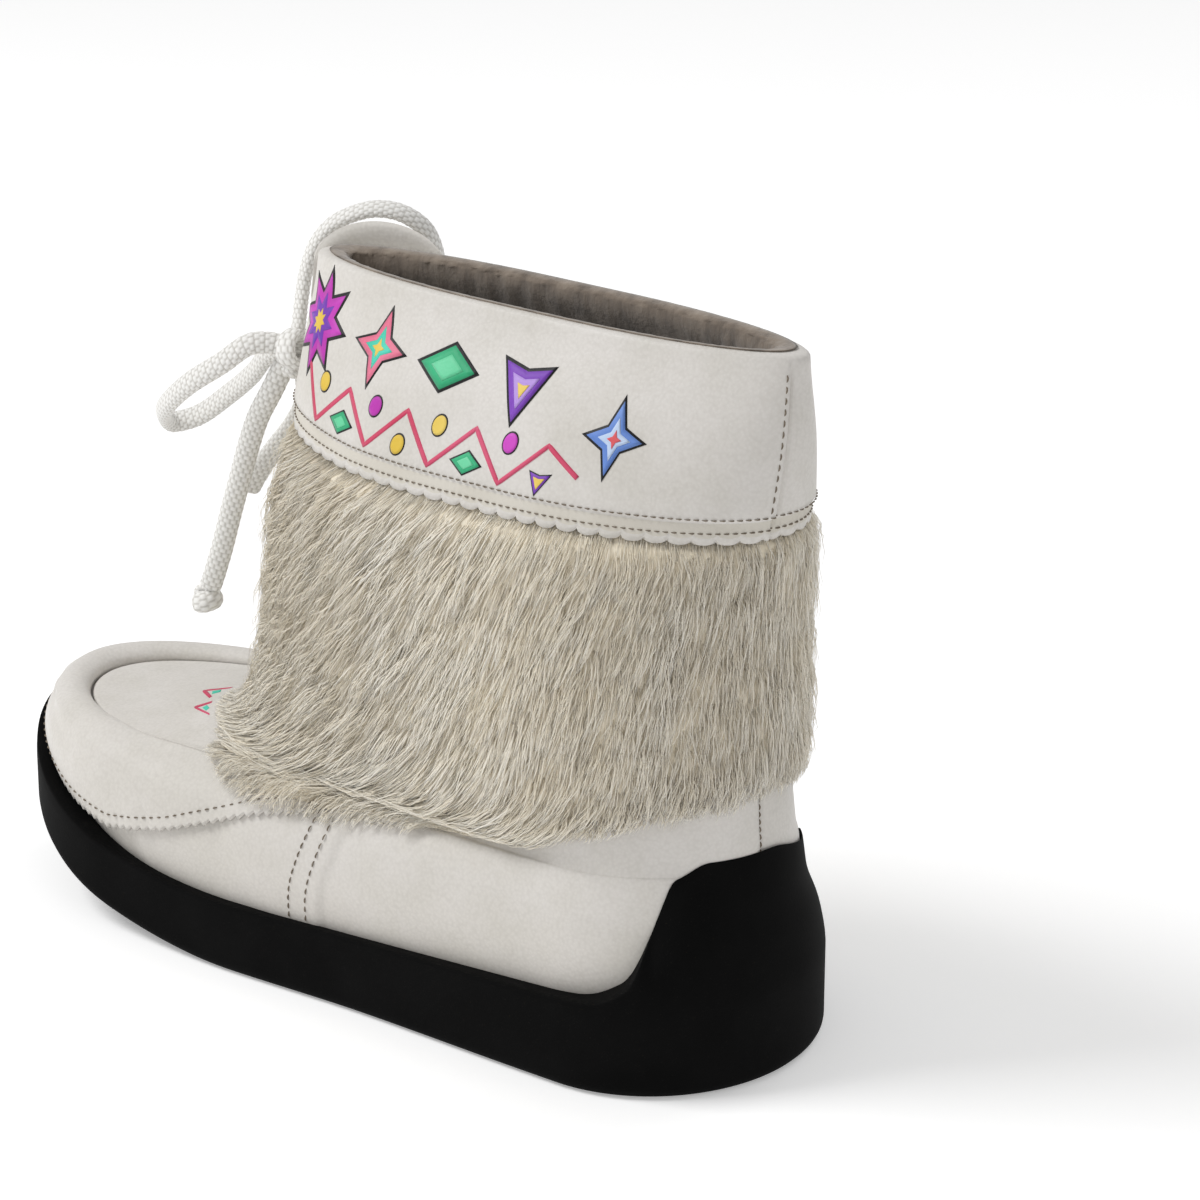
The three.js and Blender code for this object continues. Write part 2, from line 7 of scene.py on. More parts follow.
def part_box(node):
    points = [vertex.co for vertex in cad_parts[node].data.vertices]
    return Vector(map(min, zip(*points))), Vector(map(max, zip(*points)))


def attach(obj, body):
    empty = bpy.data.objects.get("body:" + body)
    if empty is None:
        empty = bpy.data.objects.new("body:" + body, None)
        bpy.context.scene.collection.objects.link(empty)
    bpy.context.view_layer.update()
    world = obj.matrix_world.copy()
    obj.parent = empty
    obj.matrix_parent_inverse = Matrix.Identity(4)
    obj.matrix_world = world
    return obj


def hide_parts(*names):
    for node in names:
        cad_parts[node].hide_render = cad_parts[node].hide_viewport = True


# Left mukluk boot: white leather on a black cup sole, a long fur band, a folded cuff and a cord bow.
# Lengths are millimetres in the boot's own axes (X toe, Y outer side, Z up), and meshes are in metres.

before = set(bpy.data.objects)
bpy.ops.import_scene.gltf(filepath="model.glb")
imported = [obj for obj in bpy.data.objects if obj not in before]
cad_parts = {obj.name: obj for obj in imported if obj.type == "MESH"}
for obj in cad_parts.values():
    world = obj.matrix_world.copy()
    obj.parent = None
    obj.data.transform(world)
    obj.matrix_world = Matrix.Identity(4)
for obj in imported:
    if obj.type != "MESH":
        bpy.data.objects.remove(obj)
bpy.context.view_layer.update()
mm = 0.001

# Sizes that the boot's surfaces follow
boot = {
    "length": (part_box("outsole")[1].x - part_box("outsole")[0].x) / mm,
    "height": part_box("cuff")[1].z / mm,
    "heelWidth": 98.4, "waistWidth": 97, "ballWidth": 101.8, "waistHollow": 3,
    "toeRoundOuter": 60, "toeRoundInner": 76, "heelRound": 46, "toeSwing": 5, "toeSpring": 31,
    "springStart": 0.6, "soleToe": 19.4, "soleHeel": 29.2, "soleFall": 1.6, "soleEdge": 3.5, "archRise": 1.6,
    "cupWall": 2.2, "cupLip": 0.5, "cupLipGap": 0.5, "cupHeight": 66.2, "cupInnerFall": 7, "cupGap": 0.9,
    "wall": 2, "clearance": 0.3, "hideGap": 0.9,
    "ankleLength": 171, "ankleWidth": 77, "collarLength": 154, "collarWidth": 28, "collarMiddle": -53.5,
    # the vamp falls towards the toe by a share, from a place, over a run and with a power
    "vampFall": 0.58, "vampStart": 0.294, "vampRun": 0.581, "vampPower": 1.7,
    # start and run along the sole where heel and waist, and waist and ball, blend, and of the inner hollow
    "heelBlend": (0.2, 0.22), "ballBlend": (0.42, 0.24), "hollowRun": (0.22, 0.4),
}
halfLength = boot["length"] / 2
cuffLeather = 1.7
collarHeight = boot["height"] - cuffLeather - boot["clearance"]

# level, front, back, outer front, outer back, inner front, inner back, front round, back round
footSections = [
    [-0.030, 0.950, -0.935, 0.915, 0.840, 0.905, 0.820, 0.560, 0.320],
    [0.045, 0.970, -0.955, 0.960, 0.855, 0.945, 0.835, 0.560, 0.330],
    [0.100, 0.955, -0.957, 0.935, 0.830, 0.920, 0.810, 0.530, 0.335],
    [0.155, 0.920, -0.955, 0.840, 0.805, 0.810, 0.790, 0.460, 0.335],
    [0.187, 0.900, -0.952, 0.650, 0.785, 0.610, 0.765, 0.390, 0.335],
    [0.194, 0.760, -0.950, 0.580, 0.775, 0.530, 0.755, 0.340, 0.335],
    [0.204, 0.590, -0.948, 0.550, 0.770, 0.500, 0.750, 0.330, 0.335],
    [0.222, 0.470, -0.946, 0.560, 0.765, 0.530, 0.745, 0.330, 0.340],
]
# level, to collar, front, back, outer front, outer back, inner front, inner back, front round, back round
shaftSections = [
    [0.270, 0, 1.205, -0.869, 0.820, 1.000, 0.795, 0.975, 0.57, 0.54],
    [0.350, 0, 1.120, -0.862, 0.900, 1.000, 0.888, 0.975, 0.64, 0.58],
    [0.460, 0, 1.080, -0.858, 0.954, 1.007, 0.947, 0.987, 0.71, 0.64],
    [0.600, 0, 1.050, -0.869, 0.985, 1.020, 0.985, 1.005, 0.79, 0.72],
    [0.730, 0, 0.985, -0.889, 0.958, 0.958, 0.958, 0.958, 0.84, 0.80],
    [0.870, 0.45, 0.982, -0.955, 1.000, 1.000, 0.900, 0.900, 0.84, 0.82],
    [1.000, 1, 1.000, -1.000, 1.060, 1.060, 0.940, 0.940, 0.84, 0.82],
    [1.120, 1, 1.000, -1.000, 0.900, 0.900, 0.780, 0.780, 0.84, 0.82],
]
collarRow, topRow, instepRow = 14, 15, 7
# angle from the toe, row of the edge
furEdge = [[0, 7.1], [32, 6.85], [50, 5.85], [60, 4.9], [67, 4.0], [73, 3.3], [80, 3.05], [90, 3.15],
           [103, 3.75], [122, 7.5], [142, 8.25], [180, 8.5]]
apronEdge = [[0, 1.0], [45, 0.9], [55, 1.05], [66, 1.8], [79, 2.95], [88, 3.5]]


# Soft step from 0 to 1: the cubic 3 v^2 - 2 v^3
def smooth(value):
    value = np.clip(value, 0, 1)
    return value * value * (3 - 2 * value)


def lerp(start, end, share):
    return start + (end - start) * share


# The tables in millimetres: level, front, back, four half widths and two roundings for each row
def sectionList():
    rows = []
    for row in footSections:
        widths = [share * boot["ballWidth"] / 2 for share in row[3:7]]
        rows.append([row[0], row[1] * halfLength, row[2] * halfLength, *widths,
                     row[7] * halfLength, row[8] * halfLength])
    for row in shaftSections:
        reach = lerp(boot["ankleLength"], boot["collarLength"], row[1]) / 2
        width = lerp(boot["ankleWidth"], boot["collarWidth"], row[1]) / 2
        ends = [boot["collarMiddle"] + share * reach for share in row[2:4]]
        rows.append([row[0], *ends, *[share * width for share in row[4:8]],
                     row[8] * reach, row[9] * reach])
    return np.array(rows)


sections = sectionList()


# Catmull-Rom curve through the sections: the cubic that meets each one with the slope of its neighbours
def sectionAt(row):
    row = np.asarray(row, float)
    last = len(sections) - 1
    index = np.clip(np.floor(row).astype(int), 0, last - 1)
    share = (row - index)[..., None]
    before, start = sections[np.maximum(index - 1, 0)], sections[index]
    end, after = sections[index + 1], sections[np.minimum(index + 2, last)]
    bend = 2 * before - 5 * start + 4 * end - after
    twist = 3 * start - before - 3 * end + after
    return start + 0.5 * share * (end - before + share * (bend + share * twist))


# Toe spring: a parabola from 60% of the length on
def toeLift(x):
    start = boot["springStart"]
    return boot["toeSpring"] * np.maximum((x / boot["length"] + 0.5 - start) / (1 - start), 0) ** 2


# The middle of the sole swings to the inner side with the square of the way to the toe
def middleLine(x):
    return -boot["toeSwing"] * np.clip(x / halfLength, 0, 1) ** 2


# Top of the sole's side: the spring, and a thickness that falls from heel to toe as a power curve
def soleTop(x):
    share = np.clip(x / boot["length"] + 0.5, 0, 1)
    return toeLift(x) + lerp(boot["soleToe"], boot["soleHeel"], (1 - share) ** boot["soleFall"])


# Quarter circle: share of the full width at a distance from a rounded end
def endRound(distance, roundness):
    share = np.clip(1 - distance / roundness, 0, 1)
    return np.sqrt(1 - share * share)


# Outer face of the leather: a half circle of angles, heel 0 and toe 180, carried from section to section
def leatherPoint(angle, row):
    angle, row = np.broadcast_arrays(np.asarray(angle, float) % 360, np.asarray(row, float))
    part = np.moveaxis(sectionAt(row), -1, 0)
    level, front, back, outerFront, outerBack, innerFront, innerBack, frontRound, backRound = part
    outer = angle < 180
    along = (1 - np.cos(np.radians(angle))) / 2
    x = lerp(back, front, along)
    width = np.where(outer, lerp(outerBack, outerFront, smooth(along)),
                     -lerp(innerBack, innerFront, smooth(along)))
    ends = endRound(front - x, frontRound) * endRound(x - back, backRound)
    pastInstep = np.maximum((x / halfLength - boot["vampStart"]) / boot["vampRun"], 0)
    drop = boot["vampFall"] * pastInstep ** boot["vampPower"]
    top = soleTop(x)
    y = middleLine(x) * np.clip(1 - row / instepRow, 0, 1) + width * ends
    return np.stack([x, y, top + level * (1 - drop) * (collarHeight - top)], -1)


# Direction in which layers lie: square to the foot, level on the shaft
def layDirection(angle, row):
    angle, row = np.broadcast_arrays(np.asarray(angle, float) % 360, np.asarray(row, float))
    around = leatherPoint(angle + 0.5, row) - leatherPoint(angle - 0.5, row)
    up = leatherPoint(angle, row + 0.05) - leatherPoint(angle, np.maximum(row - 0.05, 0))
    square = np.cross(up, around)
    square /= np.maximum(np.linalg.norm(square, axis=-1, keepdims=True), 1e-9)
    part = np.moveaxis(sectionAt(row), -1, 0)
    turn = np.radians(angle)
    x = lerp(part[2], part[1], (1 - np.cos(turn)) / 2)
    ends = endRound(part[1] - x, part[7]) * endRound(x - part[2], part[8])
    level = np.stack([-2 * np.cos(turn), np.where(angle < 180, ends, -ends), 0 * ends], -1)
    return lerp(square, level, smooth((row - 6.5) / 2)[..., None])


# The leather's point moved out by a depth along the lay direction
def overLeather(angle, row, over=0.0):
    return leatherPoint(angle, row) + layDirection(angle, row) * np.asarray(over, float)[..., None]


# Row at which the leather reaches a height, found by halving
def rowAtHeight(angle, height):
    angle, height = np.broadcast_arrays(np.asarray(angle, float), np.asarray(height, float))
    low, high = np.zeros(angle.shape), np.full(angle.shape, float(topRow))
    for halving in range(24):
        middle = (low + high) / 2
        below = leatherPoint(angle, middle)[..., 2] < height
        low, high = np.where(below, middle, low), np.where(below, high, middle)
    return low


# Degrees from the toe, on either side
def fromToe(angle):
    return np.abs(180 - np.asarray(angle, float) % 360)


def fromTable(table, place):
    return np.interp(place, [row[0] for row in table], [row[1] for row in table])


# Angles at equal steps of length along a line round the boot
def evenAngles(line, count, start=0.0, end=360.0):
    angles = np.linspace(start, end, 2881)
    points = line(angles)
    length = np.concatenate([[0], np.cumsum(np.linalg.norm(np.diff(points, axis=0), axis=1))])
    return np.interp(np.linspace(0, length[-1], count), length, angles), length[-1]


# The sole's outline: widths at heel, waist and ball joined by soft steps, with quarter-circle ends and a
# hollow on the inner side
def soleOutline(angle, inset):
    angle, inset = np.broadcast_arrays(np.asarray(angle, float) % 360, np.asarray(inset, float))
    reach = halfLength - inset
    x = -reach * np.cos(np.radians(angle))
    share = x / boot["length"] + 0.5
    heelShare, ballShare, hollowShare = [(share - start) / run for start, run in (
        boot["heelBlend"], boot["ballBlend"], boot["hollowRun"])]
    rear = lerp(boot["heelWidth"], boot["waistWidth"], smooth(heelShare))
    width = lerp(rear, boot["ballWidth"], smooth(ballShare)) / 2 - inset
    hollow = boot["waistHollow"] * np.sin(np.pi * np.clip(hollowShare, 0, 1)) ** 2
    width = width - np.where(angle > 180, hollow, 0)
    toeRound = np.where(angle < 180, boot["toeRoundOuter"], boot["toeRoundInner"]) - inset
    ends = endRound(reach - x, toeRound) * endRound(x + reach, boot["heelRound"] - inset)
    y = middleLine(x) + np.where(angle < 180, 1, -1) * width * ends
    return np.stack([x, y, 0 * x], -1)


# The frame's origin is under the middle of the boot's box, so all points move by this much
outlineRing = soleOutline(np.linspace(0, 359.5, 720), 0)
soleLow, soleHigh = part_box("outsole")
moved = np.array([
    (soleLow.x + soleHigh.x) / 2 / mm,
    (soleLow.y + soleHigh.y) / 2 / mm - (outlineRing[:, 1].min() + outlineRing[:, 1].max()) / 2,
    0,
])

camera = {
    "place": (-722.7, 883.5, 547.5), "forward": (0.555, -0.750, -0.360), "right": (-0.803, -0.596, 0.004),
    "lens": 127.95,
}


# The camera stands at the photograph's angle, with its axes from the forward and right directions
def addCamera():
    data = bpy.data.cameras.new("camera")
    data.lens, data.sensor_width, data.clip_end = camera["lens"], 36, 20
    eye = bpy.data.objects.new("camera", data)
    bpy.context.scene.collection.objects.link(eye)
    forward = np.array(camera["forward"]) / np.linalg.norm(camera["forward"])
    right = np.array(camera["right"]) - forward * (np.array(camera["right"]) @ forward)
    right /= np.linalg.norm(right)
    matrix = np.eye(4)
    matrix[:3, 0], matrix[:3, 1], matrix[:3, 2] = right, np.cross(right, forward), -forward
    matrix[:3, 3] = (np.array(camera["place"]) + moved) * mm
    eye.matrix_world = Matrix(matrix.tolist())
    bpy.context.scene.camera = eye


addCamera()
print("camera placed")


# sRGB hex to linear colour
def toLinear(hexColour):
    value = np.array([int(hexColour[i:i + 2], 16) for i in (0, 2, 4)]) / 255
    linear = np.where(value <= 0.04045, value / 12.92, ((value + 0.055) / 1.055) ** 2.4)
    return (*linear.tolist(), 1.0)


def newMaterial(name, **settings):
    material = bpy.data.materials.new(name)
    material.use_nodes = True
    shader = material.node_tree.nodes["Principled BSDF"]
    for socket, value in settings.items():
        shader.inputs[socket.replace("_", " ")].default_value = value
    return material, shader


# Adds one node: settings are its properties, and inputs are values or sockets to link
def addNode(material, kind, settings=None, **inputs):
    node = material.node_tree.nodes.new(kind)
    for name, value in (settings or {}).items():
        setattr(node, name, value)
    for name, value in inputs.items():
        socket = node.inputs[int(name[1:])] if name[0] == "i" and name[1:].isdigit() else node.inputs[name]
        if isinstance(value, bpy.types.NodeSocket):
            material.node_tree.links.new(value, socket)
        else:
            socket.default_value = value
    return node


def link(material, source, target):
    material.node_tree.links.new(source, target)


# A colour ramp through stops of place and colour
def ramp(material, factor, stops):
    node = addNode(material, "ShaderNodeValToRGB", None, Fac=factor)
    while len(node.color_ramp.elements) < len(stops):
        node.color_ramp.elements.new(0.5)
    for element, (place, colour) in zip(node.color_ramp.elements, stops):
        element.position, element.color = place, colour
    return node.outputs["Color"]


# A mesh from corner points in the boot's own millimetres and arrays of faces, turned to face outwards
def makePiece(name, points, faces, material, closed=True, values=None):
    points = (np.asarray(points, float).reshape(-1, 3) + moved) * mm
    faces = [np.asarray(part, int) for part in (faces if isinstance(faces, list) else [faces])]
    if closed:
        volume = sum(
            np.einsum("ij,ij->", points[part[:, 0]], np.cross(points[part[:, k]], points[part[:, k + 1]]))
            for part in faces for k in range(1, part.shape[1] - 1))
        if volume < 0:
            faces = [part[:, ::-1] for part in faces]
    mesh = bpy.data.meshes.new(name)
    mesh.vertices.add(len(points))
    mesh.vertices.foreach_set("co", points.astype(np.float32).ravel())
    corners = np.concatenate([part.ravel() for part in faces]).astype(np.int32)
    sizes = np.concatenate([np.full(len(part), part.shape[1]) for part in faces])
    mesh.loops.add(len(corners))
    mesh.loops.foreach_set("vertex_index", corners)
    mesh.polygons.add(len(sizes))
    starts = np.concatenate([[0], np.cumsum(sizes)[:-1]]).astype(np.int32)
    mesh.polygons.foreach_set("loop_start", starts)
    mesh.update(calc_edges=True)
    mesh.validate()
    for label, data in (values or {}).items():
        attribute = mesh.attributes.new(label, "FLOAT", "POINT")
        attribute.data.foreach_set("value", np.asarray(data, np.float32).ravel())
    mesh.shade_smooth()
    mesh.materials.append(material)
    piece = bpy.data.objects.new(name, mesh)
    bpy.context.scene.collection.objects.link(piece)
    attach(piece, "root")
    return piece


# Quads between the rows of a grid, closed round in either direction where asked
def gridFaces(rows, columns, closeRows, closeColumns):
    a = np.arange(rows if closeRows else rows - 1)[:, None]
    b = np.arange(columns if closeColumns else columns - 1)[None, :]
    a2, b2 = (a + 1) % rows, (b + 1) % columns
    at = lambda r, c: (r * columns + c).ravel()
    return np.stack([at(a, b), at(a2, b), at(a2, b2), at(a, b2)], 1)


# A ring of closed profiles round the boot
def ringPiece(name, loops, material, values=None):
    return makePiece(name, loops, gridFaces(*loops.shape[:2], True, True), material, values=values)


# A strip of closed profiles with a cap on each end
def stripPiece(name, loops, material):
    rows, columns = loops.shape[:2]
    body = gridFaces(rows, columns, False, True)
    half = columns // 2
    k = np.arange(half - 1)
    first = np.stack([k, k + 1, columns - 2 - k, columns - 1 - k], 1)
    last = (first + (rows - 1) * columns)[:, ::-1]
    return makePiece(name, loops, [np.vstack([body, first, last])], material)


# White leather: fine-grained, drum-dyed cowhide with a soft sheen. The pebble grain is about 0.9 mm across,
# drawn a little coarser than the real one so that it shows, and the hide's tone is cloudy. The crevices
# between the pebbles are darkened a little in the colour as painted shade.
leather = {
    "base": "dcd8d3", "shade": "d3cfc8", "soil": "b9b2a5", "creviceShade": "b8b4ac",
    "grain": 0.9, "fine": 0.5, "cloud": 28, "roughness": 0.55, "soilHeights": (0.028, 0.05),
}


def leatherMaterial(name="whiteLeather", soil=0.35, ink=None):
    material, shader = newMaterial(name, Roughness=leather["roughness"], Specular_IOR_Level=0.4,
                                   Sheen_Weight=0.12, Sheen_Roughness=0.4)
    place = addNode(material, "ShaderNodeTexCoord").outputs["Object"]
    cloud = addNode(material, "ShaderNodeTexNoise", None, Vector=place, Scale=1 / (leather["cloud"] * mm),
                    Detail=3.0, Roughness=0.55)
    pebble = addNode(material, "ShaderNodeTexVoronoi", {"feature": "SMOOTH_F1"}, Vector=place,
                     Scale=1 / (leather["grain"] * mm))
    fine = addNode(material, "ShaderNodeTexNoise", None, Vector=place, Scale=1 / (leather["fine"] * mm),
                   Detail=2.0)
    tone = ramp(material, cloud.outputs["Fac"], [(0.36, toLinear(leather["shade"])),
                                                  (0.62, toLinear(leather["base"]))])
    height = addNode(material, "ShaderNodeSeparateXYZ", None, Vector=place).outputs["Z"]
    low = addNode(material, "ShaderNodeMapRange", None, Value=height, **{
        "From Min": leather["soilHeights"][0], "From Max": leather["soilHeights"][1],
        "To Min": soil, "To Max": 0.0})
    worn = addNode(material, "ShaderNodeMath", {"operation": "MULTIPLY"}, i0=low.outputs[0],
                   i1=cloud.outputs["Fac"])
    dirty = addNode(material, "ShaderNodeMix", {"data_type": "RGBA"}, Factor=worn.outputs[0], i6=tone,
                    i7=toLinear(leather["soil"]))
    # Painted shade: the colour is darkened in the crevices between the pebbles
    creviceShade = ramp(material, pebble.outputs["Distance"], [(0.2, toLinear("ffffff")),
                                                         (0.7, toLinear(leather["creviceShade"]))])
    creviced = addNode(material, "ShaderNodeMix", {"data_type": "RGBA", "blend_type": "MULTIPLY"},
                       Factor=0.14, i6=dirty.outputs[2], i7=creviceShade)
    if ink:
        inked = ramp(material, cloud.outputs["Fac"], [(0.35, toLinear(ink[0])), (0.65, toLinear(ink[1]))])
        link(material, inked, shader.inputs["Base Color"])
    else:
        link(material, creviced.outputs[2], shader.inputs["Base Color"])
    rough = addNode(material, "ShaderNodeMapRange", None, Value=cloud.outputs["Fac"],
                    **{"To Min": leather["roughness"] + 0.08, "To Max": leather["roughness"] - 0.08})
    link(material, rough.outputs[0], shader.inputs["Roughness"])
    grain = addNode(material, "ShaderNodeBump", {"invert": True}, Strength=0.35, Distance=0.0002,
                    Height=pebble.outputs["Distance"])
    skin = addNode(material, "ShaderNodeBump", None, Strength=0.2, Distance=0.00015,
                   Height=fine.outputs["Fac"], Normal=grain.outputs["Normal"])
    link(material, skin.outputs["Normal"], shader.inputs["Normal"])
    return material


# Black rubber: EVA and rubber blend from a spark-eroded mould, matt, with a faint bloom of grey
rubber = {"base": "030303", "bloom": "080808", "patch": 18, "texture": 0.6, "roughness": 0.8}


def rubberMaterial():
    material, shader = newMaterial("blackRubber", Roughness=rubber["roughness"], Specular_IOR_Level=0.09)
    place = addNode(material, "ShaderNodeTexCoord").outputs["Object"]
    bloom = addNode(material, "ShaderNodeTexNoise", None, Vector=place, Scale=1 / (rubber["patch"] * mm),
                    Detail=4.0)
    mould = addNode(material, "ShaderNodeTexNoise", None, Vector=place, Scale=1 / (rubber["texture"] * mm),
                    Detail=2.0)
    link(material, ramp(material, bloom.outputs["Fac"], [(0.4, toLinear(rubber["base"])),
                                                          (0.75, toLinear(rubber["bloom"]))]),
         shader.inputs["Base Color"])
    bump = addNode(material, "ShaderNodeBump", None, Strength=0.3, Distance=0.0002,
                   Height=mould.outputs["Fac"])
    link(material, bump.outputs["Normal"], shader.inputs["Normal"])
    return material


# Taupe lining: brushed wool-blend fleece with its pile combed down, in soft upright streaks of darker and
# lighter colour that are partly random pile tone and partly painted shade and painted highlight
lining = {"base": "827568", "dark": "62574c", "light": "978a7c", "streak": 5, "pile": 1.2}


def liningMaterial():
    material, shader = newMaterial("taupeFleece", Roughness=0.95, Specular_IOR_Level=0.1, Sheen_Weight=0.5,
                                   Sheen_Roughness=0.6)
    place = addNode(material, "ShaderNodeTexCoord").outputs["Object"]
    upright = addNode(material, "ShaderNodeMapping", None, Vector=place, Scale=(1, 1, 0.22))
    streak = addNode(material, "ShaderNodeTexNoise", None, Vector=upright.outputs[0],
                     Scale=1 / (lining["streak"] * mm), Detail=4.0, Roughness=0.6)
    pile = addNode(material, "ShaderNodeTexNoise", None, Vector=place, Scale=1 / (lining["pile"] * mm),
                   Detail=3.0)
    # The streaks' darker and lighter colours are partly random pile tone and partly painted shade and painted
    # highlight
    link(material, ramp(material, streak.outputs["Fac"], [(0.3, toLinear(lining["dark"])),
                                                           (0.5, toLinear(lining["base"])),
                                                           (0.72, toLinear(lining["light"]))]),
         shader.inputs["Base Color"])
    soft = addNode(material, "ShaderNodeBump", None, Strength=0.5, Distance=0.0008,
                   Height=streak.outputs["Fac"])
    bump = addNode(material, "ShaderNodeBump", None, Strength=0.4, Distance=0.0004,
                   Height=pile.outputs["Fac"], Normal=soft.outputs["Normal"])
    link(material, bump.outputs["Normal"], shader.inputs["Normal"])
    return material


# Cord: white polyester knitted in a tube and flattened. Each knit course is 1.4 mm, in small bumps round it,
# and the colour is darker in the valleys between the bumps as painted shade
knit = {"base": "f2f1ee", "valleyShade": "c9c6c0", "course": 1.4, "wales": 9, "fuzz": 0.45}


def cordMaterial():
    material, shader = newMaterial("knittedCord", Roughness=0.85, Specular_IOR_Level=0.2, Sheen_Weight=0.3,
                                   Sheen_Roughness=0.5)
    relief = addNode(material, "ShaderNodeAttribute", {"attribute_name": "relief"})
    place = addNode(material, "ShaderNodeTexCoord").outputs["Object"]
    fuzz = addNode(material, "ShaderNodeTexNoise", None, Vector=place, Scale=1 / (knit["fuzz"] * mm),
                   Detail=3.0)
    # Painted shade: the knit valleys are coloured darker than the bumps
    tone = ramp(material, relief.outputs["Fac"], [(0.0, toLinear(knit["valleyShade"])),
                                                   (0.75, toLinear(knit["base"]))])
    link(material, tone, shader.inputs["Base Color"])
    bump = addNode(material, "ShaderNodeBump", None, Strength=0.5, Distance=0.0003,
                   Height=fuzz.outputs["Fac"])
    link(material, bump.outputs["Normal"], shader.inputs["Normal"])
    return material


# Fur: bleached rabbit or fox hide with its guard hairs. Each hair goes from a taupe root to a cream tip,
# partly the hair's own colour and partly painted shade among the hairs, and whole locks are a little darker
# or yellower than the next
fur = {
    "root": "e0d5be", "middle": "f5ecd9", "tip": "fdf9ef",
    "guard": 20000, "under": 40000, "locks": 3400, "width": 0.32,
    "length": (13, 23), "drift": (0.12, 0.5), "pull": (0.0, 0.28), "hemSlack": (-2.5, 1.8), "tucked": 9,
}


def furMaterial():
    material, shader = newMaterial("creamFur", Roughness=0.6, Specular_IOR_Level=0.25, Sheen_Weight=0.25,
                                   Sheen_Roughness=0.4)
    tone = addNode(material, "ShaderNodeAttribute", {"attribute_name": "tone"})
    link(material, ramp(material, tone.outputs["Fac"], [(0.0, toLinear(fur["root"])),
                                                         (0.45, toLinear(fur["middle"])),
                                                         (1.0, toLinear(fur["tip"]))]),
         shader.inputs["Base Color"])
    return material


# Thread: waxed and twisted polyester in taupe, with a slight change of tone at each turn
thread = {"dark": "5d5244", "light": "8c8172", "twist": 0.3}


def threadMaterial():
    material, shader = newMaterial("waxedThread", Roughness=0.7, Specular_IOR_Level=0.3)
    place = addNode(material, "ShaderNodeTexCoord").outputs["Object"]
    twist = addNode(material, "ShaderNodeTexNoise", None, Vector=place, Scale=1 / (thread["twist"] * mm),
                    Detail=2.0)
    link(material, ramp(material, twist.outputs["Fac"], [(0.35, toLinear(thread["dark"])),
                                                          (0.65, toLinear(thread["light"]))]),
         shader.inputs["Base Color"])
    return material


leatherFinish = leatherMaterial()
stripFinish = leatherMaterial("edgeStrip", 0.0, ("cbc5b9", "d6d1c7"))
rubberFinish = rubberMaterial()
liningFinish = liningMaterial()
cordFinish = cordMaterial()
furFinish = furMaterial()
threadFinish = threadMaterial()
print("materials made")


# Smooth curve through a cord's chosen points: centripetal Catmull-Rom, by linear steps between knots
# that are spaced with the square root of the distance
def cordCurve(points, step=0.4):
    points = np.array(points, float)
    ends = [2 * points[0] - points[1], 2 * points[-1] - points[-2]]
    points = np.vstack([ends[0], points, ends[1]])
    knots = np.concatenate([[0], np.cumsum(np.sqrt(np.linalg.norm(np.diff(points, axis=0), axis=1)))])
    parts = []
    for k in range(1, len(points) - 2):
        p, t = points[k - 1:k + 3], knots[k - 1:k + 3]
        place = np.linspace(t[1], t[2], 40)[:, None]
        mix = lambda a, b, i, j: (a * (t[j] - place) + b * (place - t[i])) / (t[j] - t[i])
        a1, a2, a3 = mix(p[0], p[1], 0, 1), mix(p[1], p[2], 1, 2), mix(p[2], p[3], 2, 3)
        parts.append(mix(mix(a1, a2, 0, 2), mix(a2, a3, 1, 3), 1, 2)[:-1])
    line = np.vstack([*parts, points[-2:-1]])
    length = np.concatenate([[0], np.cumsum(np.linalg.norm(np.diff(line, axis=0), axis=1))])
    even = np.linspace(0, length[-1], int(length[-1] / step) + 2)
    return np.stack([np.interp(even, length, line[:, k]) for k in range(3)], 1), even


# Frames along a line that turn as little as they can, from a first side direction
def lineFrames(line, side):
    along = np.gradient(line, axis=0)
    along /= np.linalg.norm(along, axis=1, keepdims=True)
    sides = np.zeros_like(line)
    side = np.array(side, float)
    for k, direction in enumerate(along):
        side = side - direction * (side @ direction)
        side /= np.linalg.norm(side)
        sides[k] = side
    return along, sides, np.cross(along, sides)


# Cord: a flat oval, the depth of its knit bumps, and the share of the thickness over which its ends round
cord = {"width": 6.8, "thick": 4.3, "sides": 36, "relief": 0.28, "endRound": 0.35, "endSize": 0.1}


# A knitted tube: an oval carried along the curve, with a bump for each knit loop, set like bricks
def cordPiece(name, points, side, width=cord["width"], thick=cord["thick"]):
    line, run = cordCurve(points)
    along, sides, ups = lineFrames(line, side)
    turn = np.linspace(0, 2 * np.pi, cord["sides"], endpoint=False)[None, :]
    place = run[:, None] / knit["course"]
    lean = np.pi / 2 * (np.floor(place) % 2)
    wave = np.sqrt(np.abs(np.sin(np.pi * place) * np.cos(turn * knit["wales"] / 2 + lean)))
    near = np.clip(np.minimum(run, run[-1] - run)[:, None] / (cord["endRound"] * thick), 0, 1)
    cap = np.maximum(np.sqrt(near * (2 - near)), cord["endSize"])
    across = (width / 2 * np.cos(turn) - cord["relief"] * (1 - wave) * np.cos(turn)) * cap
    over = (thick / 2 * np.sin(turn) - cord["relief"] * (1 - wave) * np.sin(turn)) * cap
    rings = line[:, None] + sides[:, None] * across[..., None] + ups[:, None] * over[..., None]
    count, around = rings.shape[:2]
    body = gridFaces(count, around, False, True)
    points = np.vstack([rings.reshape(-1, 3), line[:1], line[-1:]])
    k = np.arange(around)
    first = np.stack([k, (k + 1) % around, np.full(around, count * around)], 1)[:, ::-1]
    last = np.stack([k, (k + 1) % around, np.full(around, count * around + 1)], 1)
    last[:, :2] += (count - 1) * around
    relief = np.concatenate([np.broadcast_to(wave, rings.shape[:2]).ravel(), [0.5, 0.5]])
    piece = makePiece(name, points, [body, np.vstack([first, last])], cordFinish,
                      values={"relief": relief})
    return piece, line


